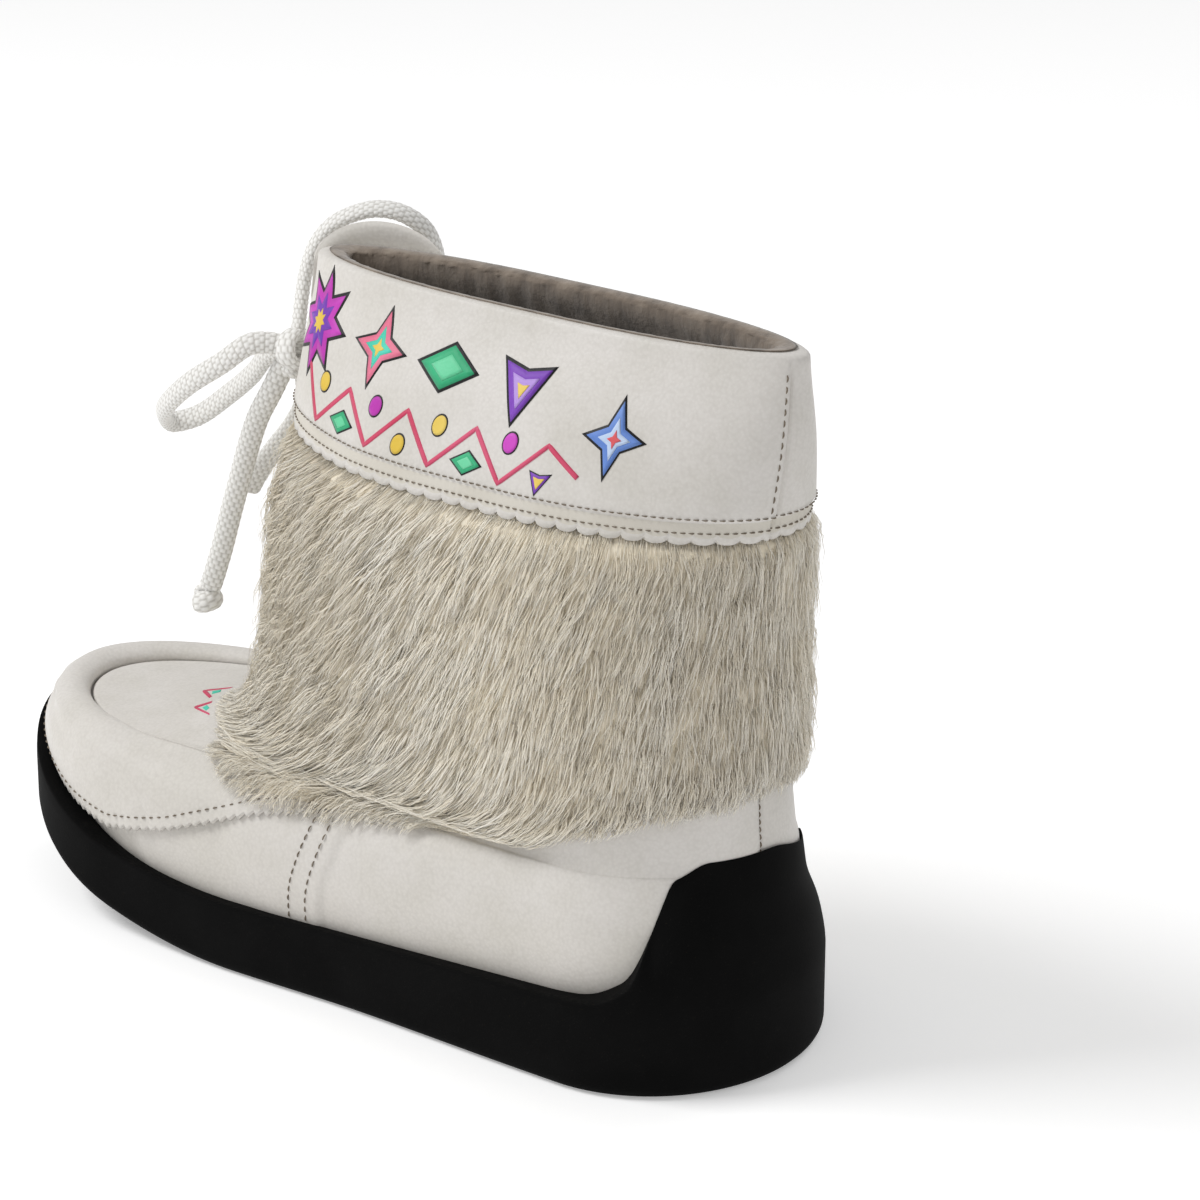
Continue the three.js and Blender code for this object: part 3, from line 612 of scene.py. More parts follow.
bowKnot = np.array([40.3, -0.5, 174.7])
cordRoutes = {
    "tie_side_loop": [[42.6, 1.8, 175.8], [46.1, 4.5, 176.8], [50.3, 8, 176.4], [57.5, 11.5, 170.5],
                      [69, 12.7, 162.5], [81.5, 8.5, 153], [91.3, 0.5, 145], [95.5, -8, 139.5],
                      [90.5, -13, 141],
                      [77, -13, 150.8], [64.5, -9.5, 160.5], [54, -4.8, 170], [48, -2.8, 172.9],
                      [43.2, -1.6, 174.3]],
    "tie_back_loop": [[40.6, -1.6, 177.6], [41.1, -3.3, 182.2], [41.9, -5.6, 188.5], [42.2, -8, 195.5],
                      [40.2, -10, 203.5],
                      [36, -12, 209.5], [29.7, -14, 213.5], [23, -17, 215.6], [16.3, -20.5, 214.6],
                      [11.5, -24.5, 210], [10.5, -28, 203], [12.5, -31, 195.5], [18, -32, 188.5],
                      [27, -29, 182], [36, -22, 177.5], [41.3, -14.5, 175.3], [42.3, -8.5, 174.8]],
    "tie_long_end": [[41.3, 1.0, 172.6], [42.9, 2.8, 168.6], [45.3, 4.6, 162.5], [49.7, 5.5, 154.2],
                     [53.4, 6, 144.5],
                     [55.9, 7, 135], [58.8, 8, 124.5], [61.9, 9, 112.6], [64.4, 10, 103.9], [66.6, 10, 98.5]],
    "tie_short_end": [[40.6, -2.2, 172.4], [40.7, -4.2, 168.3], [41.2, -6.2, 162.5], [42.8, -7, 156],
                      [47.6, -7.5, 148.5],
                      [54.5, -8, 140.5], [61.5, -8, 132], [66.5, -8, 124]],
}
# Direction of each cord's broad side at its start
cordSides = {"tie_side_loop": (0.5, -0.2, 0.8), "tie_back_loop": (0.6, -0.6, 0),
             "tie_long_end": (-0.8, -0.6, 0), "tie_short_end": (-0.8, -0.6, 0)}
# The knots: width and thickness of their cord, and how far the end knot sits past the end
knots = {"bow": (8.0, 4.4), "end": (6.6, 4.6), "endReach": 3.4, "endRound": 2.3}


# The bow: four cords along their routes, a wrap of cord round the middle and a coil as the end knot
def addTie():
    pieces, lines = {}, {}
    for name, points in cordRoutes.items():
        pieces[name], lines[name] = cordPiece("cord_" + name[4:], points, cordSides[name])
        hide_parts(name)
    wrap = [bowKnot + np.array([1.6 * np.sin(0.5 * t), 4.4 * np.cos(t), 4.6 * np.sin(t) - 0.3 * t])
            for t in np.linspace(-1.2, 5.8, 16)]
    knot, _ = cordPiece("bow_knot", wrap, (1, 0, 0), *knots["bow"])
    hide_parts("tie_knot")
    tip = lines["tie_long_end"][-1]
    way = tip - lines["tie_long_end"][-8]
    way /= np.linalg.norm(way)
    coil = tip + way * knots["endReach"]
    reach = knots["endRound"]
    turns = [coil + np.array([reach * np.cos(t), reach * np.sin(t), 0.5 * (t - 3)])
             for t in np.linspace(0, 6.6, 12)]
    endKnot, _ = cordPiece("end_knot", turns, (0, 0, 1), *knots["end"])
    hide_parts("tie_long_end_knot")


addTie()
print("cords laid")


# The cup's front sweeps up in three soft steps: distance behind the sole's middle, length, share of the rise
cupSweep = [(98, 15, 0.2), (109.1, 4.9, 0.55), (111.2, 7.8, 0.25)]


# Height of the cup's edge over the bed, swept up round the heel and lower on the inner side
def sweptEdge(angle):
    top = soleTop(soleOutline(angle, 0)[..., 0])
    pastHeel = (180 - np.asarray(angle, float)) % 360 - 180
    cupTop = boot["cupHeight"] - boot["cupInnerFall"] * smooth((pastHeel + 4) / 26)
    behind = -leatherPoint(angle, 2.0)[..., 0]
    swept = sum(share * smooth((behind - start) / length) for start, length, share in cupSweep)
    return top + (cupTop - top) * swept


# The same edge with its corners rounded: the mean over 5 degrees
def cupEdge(angle):
    shifts = np.linspace(-2.5, 2.5, 7)
    return sum(sweptEdge(np.asarray(angle, float) + shift) for shift in shifts) / len(shifts)


# Depth of the cup's outer face over the leather: a thin lip at its edge, full below
def cupOver(height, edge):
    lip = smooth((edge - height) / 30)
    thin = smooth((edge - 36) / 14)
    full, lipped = boot["cupGap"] + boot["cupWall"], boot["cupLipGap"] + boot["cupLip"]
    return lerp(full, lerp(lipped, full, lip), thin)


tread = {"pitch": 9.0, "depth": 1.4, "border": 7.0}


# The sole: a profile from the tread over the side and into the cup, for each angle, and a ribbed bottom
def addOutsole():
    # one side's angles, closer together where the cup sweeps up, and their mirror images
    dense = np.linspace(0, 180, 1801)
    walk = np.linalg.norm(np.diff(soleOutline(dense, 0), axis=0), axis=1)
    walk = np.concatenate([[0], np.cumsum(walk * (1 + 4 * (np.abs(dense[1:] - 30) < 8)))])
    half = np.interp(np.linspace(0, walk[-1], 211), walk, dense)
    angles = np.concatenate([half, 360 - half[-2:0:-1]])
    outline = soleOutline(angles, 0)
    base = toeLift(outline[:, 0])
    edge = cupEdge(angles)
    edgeSize = boot["soleEdge"]
    profile = []
    for turn in np.radians(np.linspace(0, 90, 6)):
        inset = edgeSize * (1 - np.sin(turn))
        point = soleOutline(angles, inset)
        point[:, 2] = toeLift(point[:, 0]) + edgeSize * (1 - np.cos(turn))
        profile.append(point)

    def side(share, inset):
        height = lerp(base + edgeSize, edge, share)
        wall = soleOutline(angles, inset)
        wall[:, 2] = height
        cup = overLeather(angles, rowAtHeight(angles, height), cupOver(height, edge) - 0.5 * inset)
        cup[:, 2] = height
        return lerp(wall, cup, smooth((height - soleTop(outline[:, 0]) + 4) / 26)[:, None])

    for share in np.linspace(0.06, 0.94, 22):
        profile.append(side(share, 0))
    for turn in np.radians([20, 45, 70]):
        profile.append(side(1 - 0.02 * (1 - np.sin(turn)), 0.5 * (1 - np.cos(turn))))
    profile.append(side(1.0, 0.6))

    def inner(height):
        gap = lerp(boot["cupLipGap"], boot["cupGap"], smooth((edge - height) / 20))
        point = overLeather(angles, rowAtHeight(angles, height), gap)
        point[:, 2] = height
        return point

    brink = inner(edge)
    brink[:, 2] = edge - 0.2
    floor = overLeather(angles, 0 * angles, boot["cupGap"])
    floor[:, 2] = leatherPoint(angles, 0 * angles)[:, 2] - boot["clearance"]
    for share in np.linspace(0.0, 1, 9):
        point = inner(lerp(brink[:, 2], floor[:, 2], share))
        profile.append(point)
    lines = np.stack(profile, 1)
    count, steps = lines.shape[:2]
    points = [lines.reshape(-1, 3)]
    faces = [gridFaces(count, steps, True, False)]
    for ring, ribbed in ((0, True), (steps - 1, False)):
        rim = lines[:, ring]
        half = np.arange(0, count // 2 + 1)
        left, right = rim[half], rim[(count - half) % count]
        shares = np.linspace(0, 1, 61 if ribbed else 9)[None, :, None]
        bed = lerp(left[:, None], right[:, None], shares)
        if ribbed:
            x, y = bed[..., 0], bed[..., 1]
            bed[..., 2] = toeLift(x)
            inside = np.minimum.reduce([halfLength - np.abs(x) - 2, np.abs(bed[:, :1, 1] - y),
                                        np.abs(bed[:, -1:, 1] - y)])
            fromArch = np.abs(x / boot["length"] + 0.12) / 0.16
            bed[..., 2] += boot["archRise"] * smooth(1 - fromArch) * smooth(inside / 12)
            wave = np.sin(2 * np.pi * (x + 3.2 * np.sin(2 * np.pi * y / 26)) / tread["pitch"])
            groove = smooth((wave - 0.35) / 0.35) * smooth((inside - tread["border"]) / 2)
            bed[..., 2] += tread["depth"] * groove
        bed[0] = rim[0]
        bed[-1] = rim[count // 2]
        bed[:, 0], bed[:, -1] = left, right
        start = sum(len(part) for part in points)
        points.append(bed.reshape(-1, 3))
        cells = gridFaces(*bed.shape[:2], False, False) + start
        faces.append(cells if ribbed else cells[:, ::-1])
    piece = makePiece("rubber_cup_sole", np.vstack(points), [np.vstack(faces)], rubberFinish)
    mergeDoubles(piece)
    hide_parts("outsole")


def mergeDoubles(piece, distance=0.00002):
    work = bmesh.new()
    work.from_mesh(piece.data)
    bmesh.ops.remove_doubles(work, verts=work.verts, dist=distance)
    bmesh.ops.recalc_face_normals(work, faces=work.faces)
    work.to_mesh(piece.data)
    work.free()
    piece.data.shade_smooth()


addOutsole()
print("sole made")

# Soft creases of the lower leather: angle, row, turn of the crease in degrees, length, width, depth
creases = {
    "toeDimple": (122, 1.2, 70, 16, 3.2, 0.5), "secondDimple": (117, 1.5, 75, 14, 2.8, 0.45),
    "ballFold": (104, 1.6, 60, 20, 4.5, 0.5), "waistFold": (84, 2.2, 30, 26, 6, 0.45),
    "archFold": (70, 2.6, 15, 30, 7, 0.4), "heelFold": (48, 3.3, 5, 24, 7, 0.35),
    "innerBall": (252, 1.6, -60, 20, 5, 0.5), "innerWaist": (276, 2.3, -25, 26, 7, 0.45),
}


# Each crease is a trough, a Gaussian across and along it, with a lower ridge beside it
def creaseRelief(angle, row):
    centre = leatherPoint(angle, row)
    total = np.zeros(np.broadcast(angle, row).shape)
    for place, rowPlace, turn, length, width, depth in creases.values():
        away = centre - leatherPoint(place, rowPlace)
        level = np.where(place < 180, 1, -1) * away[..., 0]
        along = level * np.cos(np.radians(turn)) + away[..., 2] * np.sin(np.radians(turn))
        across = -level * np.sin(np.radians(turn)) + away[..., 2] * np.cos(np.radians(turn))
        near = np.exp(-(along / length) ** 2) * (np.abs(away[..., 1]) < 40)
        ridge = 0.6 * np.exp(-((across - 1.9 * width) / width) ** 2)
        total -= depth * near * (np.exp(-(across / width) ** 2) - ridge)
    return total


# Seams of the lower leather: angle at row 0 and at row 8, and the angle of the rear seam
seams = {"outer": (88, 85), "inner": (272, 275)}
backSeam = 6.2
fleece = {"around": 240, "thick": 1.2, "hidden": 0.1, "facingReach": 2.6, "facingRise": 0.35}


# The hollow leather: its outer face with creases and lapped seams, its inner face, and a fleece lining
# whose facing comes over the inner half of the rim
def addUpper():
    angles, _ = evenAngles(lambda a: leatherPoint(a, 1.0), 421)
    angles = angles[:-1, None]
    rows = np.concatenate([np.linspace(0, 5, 46), np.linspace(5.2, 9, 14), np.linspace(9.7, 14, 7)])[None, :]
    relief = creaseRelief(angles, rows)
    for start, end in seams.values():
        place = lerp(start, end, rows / 8)
        away = (angles - place) * np.pi / 180 * 60 * (1 if start < 180 else -1)
        relief = relief + 0.8 * smooth(away / 0.8 + 0.5) * smooth(1 - (away - 10) / 18) * (rows < 6.5)
    away = ((angles - backSeam + 180) % 360 - 180) * 0.62
    relief = relief + 0.5 * smooth(away / 0.8 + 0.5) * smooth(1 - (away - 8) / 18)
    relief = relief - 0.5 * np.exp(-(away / 0.6) ** 2)
    outer = overLeather(angles, rows, relief)
    innerRows = np.array([14, 13, 12, 11, 10, 9.25, 8.5, 7.75, 7, 6.5, 6, 5, 4, 3, 2, 1, 0.0])[None, :]
    inner = overLeather(angles, innerRows, -boot["wall"] + 0.4)
    loops = np.concatenate([outer, inner], 1)
    piece = ringPiece("lower_leather", loops, leatherFinish)
    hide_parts("upper")
    pile = np.random.default_rng(4)
    count = fleece["around"]
    angles, _ = evenAngles(lambda a: leatherPoint(a, 13.0), count + 1)
    angles = angles[:-1, None]
    rows = np.concatenate([np.linspace(14, 10, 40), np.linspace(9.8, 0.2, 32)])[None, :]
    swell = 0.5 * np.sin(angles * 0.9) * np.sin(rows * 1.7 + angles * 0.05)
    swell = swell + 0.1 * pile.standard_normal((count, rows.size))
    face = overLeather(angles, rows, -boot["wall"] - fleece["thick"] - 0.35 * swell)
    facing = []
    middle = (boot["hideGap"] + cuffLeather + 0.15 - boot["wall"]) / 2
    for turn in np.radians(np.linspace(82, 176, 9)):
        reach = fleece["facingReach"] + 0.4 + 0.2 * pile.standard_normal(count)
        point = overLeather(angles[:, 0], float(collarRow), middle + reach * np.cos(turn))
        rise = boot["height"] - collarHeight + fleece["facingRise"]
        point[:, 2] = collarHeight + rise * np.sin(turn) ** 0.8
        facing.append(point)
    face = np.concatenate([np.stack(facing, 1), face[:, 1:]], 1)
    backRows = np.array([0.2, 1.5, 3, 4.5, 5.5, 6, 6.5, 7, 7.5, 8, 8.5, 9, 9.75, 10.5, 11.25, 12, 12.75,
                         13.4, 14])[None, :]
    behind = overLeather(angles, backRows, -boot["wall"] + fleece["hidden"])
    fleecePiece = ringPiece("fleece_lining", np.concatenate([face, behind], 1), liningFinish)


addUpper()
print("leather made")


# Height of the apron's outer face over the leather: flat at first, then the roll, which rises in two soft
# steps and falls as a quarter circle
def apronOver(angle, share):
    shown = 1 - smooth((fromToe(angle) - 42) / 18)
    rise = 0.5 * smooth(share / 0.5) + 0.5 * smooth((share - 0.5) / 0.2)
    fall = np.sqrt(np.maximum(1 - np.maximum((share - 0.82) / 0.18, 0) ** 2, 0))
    return boot["hideGap"] + 1.4 + 4.2 * shown * rise * fall


# Rows of the plug's edge and back, and how many degrees the apron and the plug reach from the toe
plugEdgeRow, plugBackRow, apronReach, plugReach = 4.25, 7.15, 87, 67
plugLeather = 1.2
pinking = {"pitch": 3.3, "depth": 1.6, "faces": 6, "fade": 0.07}


# The toe apron: a zigzag lower edge, a thin skirt and a rolled rim round the plug
def addApron():
    line = lambda a: overLeather(a, fromTable(apronEdge, fromToe(a)), 2.0)
    _, length = evenAngles(line, 3, 180 - apronReach, 180 + apronReach)
    teeth = int(length / pinking["pitch"])
    angles, _ = evenAngles(line, teeth * pinking["faces"] + 1, 180 - apronReach, 180 + apronReach)
    tooth = np.abs(np.arange(len(angles)) / pinking["faces"] % 1 * 2 - 1)
    edge = fromTable(apronEdge, fromToe(angles))
    pitch = np.linalg.norm(leatherPoint(angles, edge + 0.3) - leatherPoint(angles, edge), axis=-1) / 0.3
    roll = 0.8 + 0.2 * np.sin(np.radians(np.linspace(10, 90, 8)))
    shares = np.concatenate([[0, 0.014, 0.035], np.linspace(0.07, 0.8, 14), roll])
    low = (pinking["depth"] / pitch * tooth)[:, None] * (1 - smooth(shares / pinking["fade"]))[None, :]
    rows = lerp(edge[:, None], plugEdgeRow, shares[None, :]) - low
    over = apronOver(angles[:, None], shares[None, :])
    over[:, 0] = boot["hideGap"] + 0.3
    over = over + 0.5 * creaseRelief(angles[:, None], rows)
    outer = overLeather(angles[:, None], rows, over)
    inner = overLeather(angles[:, None], rows[:, ::-1], boot["hideGap"])
    piece = stripPiece("toe_apron_leather", np.concatenate([outer, inner], 1), leatherFinish)
    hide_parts("toe_apron")


# The plug: a sheet over the toe inside the roll, thinned at its edge
def addPlug():
    angles, _ = evenAngles(lambda a: leatherPoint(a, plugEdgeRow), 241, 180 - plugReach, 180 + plugReach)
    first = plugEdgeRow + 0.06
    rows = np.concatenate([first + np.array([0, 0.01, 0.04, 0.08]), np.linspace(4.42, plugBackRow, 30)])
    over = boot["hideGap"] + plugLeather * np.array([0.3, 0.75, 0.95, 1.0] + [1.0] * 30)
    outer = overLeather(angles[:, None], rows[None, :], over[None, :])
    inner = overLeather(angles[:, None], rows[None, ::-1], boot["hideGap"])
    piece = stripPiece("toe_plug_leather", np.concatenate([outer, inner], 1), leatherFinish)
    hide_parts("toe_plug")


addApron()
addPlug()
print("toe made")

# Heights, the scallops and the strip, the rear seam's angle, and the millimetres to a degree there
cuff = {"drop": 50, "lift": 3, "leather": cuffLeather, "scallop": 6.4, "scallopDepth": 1.7,
        "scallopFaces": 10, "strip": 6.0, "seam": 14.0, "degree": 0.64}
cuffFace = boot["hideGap"] + cuff["leather"]


# Height of the cuff's edge, a little higher at the toe's side
def cuffHeight(angle):
    return boot["height"] - cuff["drop"] + cuff["lift"] * (1 - np.clip(fromToe(angle) / 60, 0, 1))


# The cuff's rear seam: one edge laps over the other with a small step and a groove
def cuffSeam(angle):
    away = ((angle - cuff["seam"] + 180) % 360 - 180) * cuff["degree"]
    lap = 0.5 * smooth(away / 0.8 + 0.5) * smooth(1 - (away - 6) / 20)
    return lap - 0.4 * np.exp(-((away + 0.7) / 0.5) ** 2)


# The cuff: folded over the collar, a soft roll at the top, a thinner scalloped strip at the foot
def addCuff():
    line = lambda a: overLeather(a, rowAtHeight(a, cuffHeight(a)), cuffFace)
    _, length = evenAngles(line, 3)
    lobes = int(round(length / cuff["scallop"]))
    angles, _ = evenAngles(line, lobes * cuff["scallopFaces"] + 1)
    angles = angles[:-1]
    lobe = np.arange(len(angles)) / cuff["scallopFaces"] % 1 * 2 - 1
    scallop = cuff["scallopDepth"] * (1 - np.sqrt(1 - lobe ** 2 * 0.97))
    low = cuffHeight(angles) - 0.4 + scallop
    strip = cuffHeight(angles) + cuff["strip"]
    heights = [low, low + 0.25]
    heights += [lerp(low + 0.25, strip, share) for share in (0.3, 0.6, 0.85, 0.95)]
    overs = [cuffFace - 1.0, cuffFace - 0.5] + [cuffFace - 0.5] * 4
    for share in np.concatenate([[0, 0.01, 0.03], np.linspace(0.08, 0.96, 22)]):
        heights.append(lerp(strip + 0.05, collarHeight, share))
        overs.append(cuffFace - 0.5 + 0.65 * min(1, share / 0.03) ** 0.5)
    rows = rowAtHeight(angles[:, None], np.minimum(np.stack(heights, 1), collarHeight))
    seam = cuffSeam(angles)[:, None] * smooth((collarHeight - np.stack(heights, 1)) / 5)
    outer = overLeather(angles[:, None], rows, np.array(overs)[None, :] + seam)
    outer[..., 2] = np.stack(heights, 1)
    roll = []
    rowsTop = np.full(len(angles), float(collarRow))
    for turn in np.radians(np.linspace(10, 175, 12)):
        middle, reach = (cuffFace + 0.15 - boot["wall"]) / 2, (cuffFace + 0.15 + boot["wall"]) / 2
        point = overLeather(angles, rowsTop, middle + reach * np.cos(turn))
        point[:, 2] = collarHeight + (boot["height"] - collarHeight) * np.sin(turn) ** 0.8
        roll.append(point)
    lipped = overLeather(angles, rowsTop, -boot["wall"])
    lipped[:, 2] = collarHeight - 3
    below = overLeather(angles, rowsTop, boot["hideGap"])
    below[:, 2] = collarHeight + 0.05
    roll += [lerp(lipped, roll[-1], 0.5), lipped]
    inside = overLeather(angles, rowsTop, -boot["wall"] + 0.35)
    inside[:, 2] = collarHeight - 3
    insideTop = overLeather(angles, rowsTop, -boot["wall"] + 0.35)
    insideTop[:, 2] = collarHeight + 0.05
    hidden = [inside, insideTop, below]
    for height in (lerp(low, collarHeight, 0.6), lerp(low, collarHeight, 0.2), low):
        point = overLeather(angles, rowAtHeight(angles, height), boot["hideGap"])
        point[:, 2] = height
        hidden.append(point)
    loops = np.concatenate([outer, np.stack(roll + hidden, 1)], 1)
    piece = ringPiece("cuff_leather", loops, leatherFinish)
    piece.data.materials.append(stripFinish)
    column = np.arange(len(piece.data.polygons)) % loops.shape[1]
    piece.data.polygons.foreach_set("material_index", ((column > 1) & (column < 5)).astype(np.int32))
    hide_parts("cuff")


addCuff()
print("cuff made")


tab = {"width": 40, "height": 30, "shoulder": 6.5, "thick": 2}


# The tab: a sheet outside the cuff with an elliptic top edge and soft edges all round
def addTab():
    base = cuffFace + 2 * boot["clearance"]
    line = lambda a: overLeather(a, collarRow + 0 * a, base)
    angles, length = evenAngles(line, 2000, 180, 240)
    reach = np.interp(tab["width"], np.linspace(0, length, 2000), angles)
    angles, _ = evenAngles(line, 41, 180, reach)
    share = np.linspace(0, 1, 41)
    rounded = np.sqrt(np.maximum(1 - (2 * share - 1) ** 2, 0.004))
    top = boot["height"] + lerp(-tab["shoulder"], tab["shoulder"], rounded)
    low = boot["height"] - lerp(0.5, 1, rounded) * tab["height"]
    levels = np.linspace(0, 1, 24)[None, :]
    height = lerp(low[:, None], top[:, None], levels)
    rows = rowAtHeight(angles[:, None], np.minimum(height, collarHeight))
    towardsEnd = np.sqrt(np.clip(np.minimum(levels, 1 - levels) * 12, 0, 1))
    towardsSide = np.sqrt(np.clip(np.minimum(share, 1 - share)[:, None] * 12, 0, 1))
    half = tab["thick"] / 2
    outer = overLeather(angles[:, None], rows, base + half + half * towardsEnd * towardsSide)
    inner = overLeather(angles[:, None], rows, base + half - half * towardsEnd * towardsSide)
    outer[..., 2], inner[..., 2] = height, height
    piece = stripPiece("front_tab_leather", np.concatenate([outer, inner[:, ::-1]], 1), leatherFinish)
    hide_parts("front_tab")


addTab()
print("tab made")


# Row at each angle and distance above the fur's hem, along the leather, as a table to look up
furAngles = np.arange(0, 361, 1.0)
furSteps = np.arange(-14, 201, 1.0)


def furTable():
    rows = np.linspace(0, topRow, 400)[None, :]
    points = leatherPoint(furAngles[:, None], rows)
    length = np.concatenate([np.zeros((len(furAngles), 1)),
                             np.cumsum(np.linalg.norm(np.diff(points, axis=1), axis=-1), 1)], 1)
    hem = fromTable(furEdge, fromToe(furAngles))
    table = []
    for k in range(len(furAngles)):
        start = np.interp(hem[k], rows[0], length[k])
        table.append(np.interp(furSteps + start, length[k], rows[0]))
    return np.array(table)


rowTable = furTable()


# Value between the table's whole degrees and millimetres, linear both ways
def tableAt(table, angle, distance):
    a = angle % 360
    d = np.clip(distance - furSteps[0], 0, len(furSteps) - 1.001)
    i, j = np.minimum(a.astype(int), 359), d.astype(int)
    fa, fd = a - i, d - j
    return ((table[i, j] * (1 - fd) + table[i, j + 1] * fd) * (1 - fa)
            + (table[i + 1, j] * (1 - fd) + table[i + 1, j + 1] * fd) * fa)


# What the fur lies on: the leather, or the apron's rim and the plug at the toe
def coverHeight(angle, row):
    away = fromToe(angle)
    edge = fromTable(apronEdge, away)
    share = np.clip((row - edge) / (plugEdgeRow - edge), 0, 1)
    onRim = (away < apronReach) & (row > edge) & (row < plugEdgeRow)
    onSheet = (away < plugReach) & (row >= plugEdgeRow) & (row < plugBackRow)
    rim = np.where(onRim, apronOver(angle, share), 0)
    plug = np.where(onSheet, boot["hideGap"] + plugLeather, 0)
    return np.maximum(np.maximum(rim, plug), 0)


# Depth of the fur, less at the toe and the heel
def furDepth(angle):
    front = smooth(1 - fromToe(angle) / 60)
    back = smooth(fromToe(angle) / 60 - 2)
    depth = 6.5 - 1.5 * front - 0.5 * back
    return depth / lerp(1, 2, np.maximum(front, back))


# Distance of the cuff's edge from the hem at each angle
cuffRows = rowAtHeight(furAngles, cuffHeight(furAngles))
cuffDistance = np.array([np.interp(cuffRows[k], rowTable[k], furSteps) for k in range(len(furAngles))])


def cuffAway(angle):
    return np.interp(np.asarray(angle) % 360, furAngles, cuffDistance)


# The fur stays under the cuff's edge and comes up from below it at a slope of about 40 degrees
def underCuff(angle, distance, over):
    return np.minimum(over, 0.45 + 0.85 * np.maximum(cuffAway(angle) - distance - 0.5, 0))


# How many degrees a hair turns forward round the boot for each mm that it goes down
def combedTurn(angle, distance, lean):
    row = tableAt(rowTable, angle, distance)
    speed = np.linalg.norm(leatherPoint(angle + 0.5, row) - leatherPoint(angle - 0.5, row), axis=-1)
    forward = np.where(angle % 360 < 180, 1, -1) * smooth(np.sin(np.radians(angle % 180)) * 1.6)
    return lean * forward / np.maximum(speed, 0.35)


# Shortens a hair where it would pass the hem by more than its slack
def trimmed(angle, distance, reach, turning, slack):
    below = cuffAway(angle) - distance
    for trial in range(4):
        end = cuffAway(angle + turning * reach) - below - reach
        reach = reach - np.maximum(slack * -1 - end, 0) * 0.7
    return np.maximum(reach, 1.5)


# Hairs as paths down the leather: each goes down from the cuff and forward, and rises to its layer
def hairPaths(angle, distance, reach, turning, layer, places):
    down = reach[:, None] * places
    turn = angle[:, None] + turning[:, None] * down
    at = cuffAway(turn) - (cuffAway(angle) - distance)[:, None] - down
    rows = tableAt(rowTable, turn, at)
    rise = np.sin(np.pi / 2 * np.clip(places * 1.7, 0, 1)) - 0.35 * np.clip(places - 0.6, 0, 1)
    over = underCuff(turn, at, 0.5 + (layer * furDepth(angle))[:, None] * rise)
    # near the hem the hairs lie down on the leather
    over = over * lerp(0.45, 1.0, smooth((at + 4) / 14))
    return overLeather(turn, rows, coverHeight(turn, rows) + over)


# Closed hairs of three sides: a root, one ring for each middle place and a tip
def strands(line, normal, width, sizes):
    along = np.gradient(line, axis=1)
    along /= np.maximum(np.linalg.norm(along, axis=-1, keepdims=True), 1e-9)
    across = np.cross(along, normal[:, None])
    across /= np.maximum(np.linalg.norm(across, axis=-1, keepdims=True), 1e-9)
    up = np.cross(across, along)
    points = [line[:, 0]]
    for place, size in enumerate(sizes, 1):
        for turn in np.radians([270, 30, 150]):
            offset = across[:, place] * np.cos(turn) + up[:, place] * np.sin(turn) * 0.6
            points.append(line[:, place] + offset * width[:, None] / 2 * size)
    points.append(line[:, -1])
    tip = 1 + 3 * len(sizes)
    ends = [[0, 1, 2], [0, 2, 3], [0, 3, 1],
            [tip - 3, tip, tip - 2], [tip - 2, tip, tip - 1], [tip - 1, tip, tip - 3]]
    sides = [[[k, k + 3, k + 4, k + 1], [k + 1, k + 4, k + 5, k + 2], [k + 2, k + 5, k + 3, k]]
             for k in range(1, 1 + 3 * (len(sizes) - 1), 3)]
    return np.stack(points, 1), np.array(ends), np.array(sides).reshape(-1, 4).astype(int)


